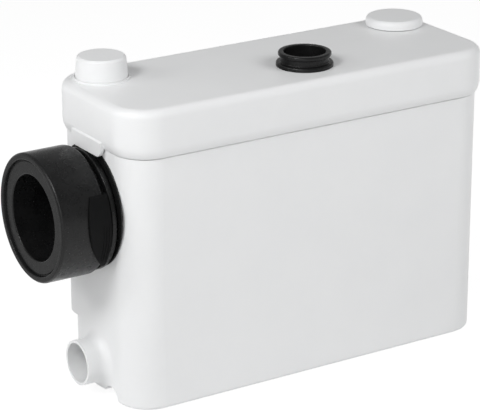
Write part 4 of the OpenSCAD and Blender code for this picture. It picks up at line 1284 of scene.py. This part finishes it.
@dataclass
class Studio:
    """The floor, the light and the camera.

    Attributes:
        target: what the camera looks at, in metres.
        azimuth: where the camera stands, in degrees from the front to the right.
        elevation: how high it stands, in degrees.
        distance: how far it stands from the target, in metres.
        lens: focal length in millimetres.
        clip: nearest and farthest distance that the camera sees, in metres.
        floor_r: radius of the floor in metres.
        floor_drop: gap between the pump and the floor in metres.
        floor_grey: how bright the floor is to the pump.
        shadow_grey: how much of the light on the floor is seen, so how dark a shadow gets.
        floor_glow: how bright the floor is seen where no light falls on it.
        ambient: strength of the light from all around.
        ceiling: how bright the ceiling is to a mirror.
        dimming: heights of a direction between which the walls dim to the ceiling.
        lamps: the soft boxes.
    """

    target: Triple = (-0.04054, 0.0, 0.15086)
    azimuth: float = -32.72
    elevation: float = 20.04
    distance: float = 2.36586
    lens: float = 183.48
    clip: Pair = (0.05, 60.0)
    floor_r: float = 12.0
    floor_drop: float = 0.0004
    floor_grey: float = 0.8
    shadow_grey: float = 0.26
    floor_glow: float = 0.88
    ambient: float = 0.2
    ceiling: float = 0.35
    dimming: Pair = (0.01, 0.14)
    lamps: tuple[SoftBox, ...] = (
        SoftBox("key", -72, 42, 1.8, (0.5, 0.5), 12.4),
        SoftBox("side", -103, 27, 1.8, (0.5, 0.5), 4.8),
        SoftBox("corner", -48, 22, 1.8, (0.9, 0.9), 5.4),
        SoftBox("fill", 35, 36, 2.0, (1.2, 0.9), 14.8, False),
    )

    def build(self) -> None:
        """Sets up the floor, the light and the camera."""
        self.floor()
        self.sky()
        for lamp in self.lamps:
            self.lamp(lamp)
        self.camera()
        bpy.context.scene.view_settings.view_transform = "Standard"
        LOG.info("studio set up with %d lamps", len(self.lamps))

    def stand(self, made: bpy.types.Object, azimuth: float, elevation: float, distance: float) -> None:
        """Stands a lamp or the camera round the target, facing it.

        Args:
            made: the lamp or the camera.
            azimuth: degrees from the front to the right.
            elevation: degrees above the floor.
            distance: metres from the target.
        """
        a = radians(azimuth)
        e = radians(elevation)
        away = Vector((sin(a) * cos(e), -cos(a) * cos(e), sin(e)))
        made.location = Vector(self.target) + away * distance
        made.rotation_euler = away.to_track_quat("Z", "Y").to_euler()
        bpy.context.scene.collection.objects.link(made)

    def floor(self) -> None:
        """Lays a wide pale floor that stays white to the eye and takes the pump's shadow."""
        mesh = bmesh.new()
        bmesh.ops.create_circle(mesh, cap_ends=True, segments=64, radius=self.floor_r)
        floor = placed("studio_floor", mesh)
        floor.location.z = -self.floor_drop
        paint = bpy.data.materials.new("pale_floor")
        paint.use_nodes = True
        graph = Graph(paint.node_tree)
        graph.tree.nodes.clear()
        matt = graph.node("BsdfDiffuse", {"Color": (*[self.floor_grey] * 3, 1)})[0]
        shade = graph.node("BsdfDiffuse", {"Color": (*[self.shadow_grey] * 3, 1)})[0]
        glow = graph.node("Emission", {"Strength": self.floor_glow})[0]
        bright = graph.node("AddShader", {0: shade, 1: glow})[0]
        graph.node("OutputMaterial", {"Surface": graph.shown(lit=matt, seen=bright)})
        floor.data.materials.append(paint)

    def sky(self) -> None:
        """Makes the surroundings white to the eye, dim overhead in mirrors and a soft light to the pump."""
        world = bpy.data.worlds.new("studio_surroundings")
        world.use_nodes = True
        graph = Graph(world.node_tree)
        graph.tree.nodes.clear()
        soft = graph.node("Background", {"Color": (1, 1, 1, 1), "Strength": self.ambient})[0]
        height = graph.node("SeparateXYZ", {0: graph.node("TexCoord", {})["Generated"]})["Z"]
        wall = graph.spread(height, 1.0, self.ceiling, *self.dimming)
        bright = graph.combined("MAXIMUM", wall, graph.node("LightPath", {})["Is Camera Ray"])
        white = graph.node("Background", {"Color": (1, 1, 1, 1), "Strength": bright})[0]
        graph.node("OutputWorld", {"Surface": graph.shown(lit=soft, seen=white)})
        bpy.context.scene.world = world

    def lamp(self, lamp: SoftBox) -> None:
        """Hangs a soft box that faces the pump.

        Args:
            lamp: what it is like.
        """
        data = bpy.data.lights.new(lamp.name, "AREA")
        data.shape = "RECTANGLE"
        data.size, data.size_y = lamp.size
        data.energy = lamp.power
        made = bpy.data.objects.new(lamp.name, data)
        made.visible_glossy = lamp.mirrored
        self.stand(made, lamp.azimuth, lamp.elevation, lamp.distance)

    def camera(self) -> None:
        """Sets the camera where the photographer stood."""
        data = bpy.data.cameras.new("photo_camera")
        data.lens = self.lens
        data.sensor_width = 36.0
        data.sensor_fit = "HORIZONTAL"
        data.clip_start, data.clip_end = self.clip
        made = bpy.data.objects.new("photo_camera", data)
        self.stand(made, self.azimuth, self.elevation, self.distance)
        bpy.context.scene.camera = made


def clear_start_scene() -> None:
    """Removes what a new scene holds besides the frame."""
    kept = {*frame["nodes"].values(), *frame["bodies"].values()}
    for thing in list(bpy.data.objects):
        if thing not in kept:
            bpy.data.objects.remove(thing)


def main() -> None:
    """Builds the pump's groups in order, then the studio round them."""
    logging.basicConfig(level=logging.INFO, format="%(name)s: %(message)s")
    clear_start_scene()
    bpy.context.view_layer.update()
    groups = (
        Shell, SoilInlet, SideInlet, OutletGrommet, VentCap, ServiceCap, CordEntry,
        PumpUnit, MotorUnit, Discharge, LevelSwitch, Electrics,
    )
    for group in groups:
        group().build()
    Studio().build()


if __name__ == "__main__":
    main()
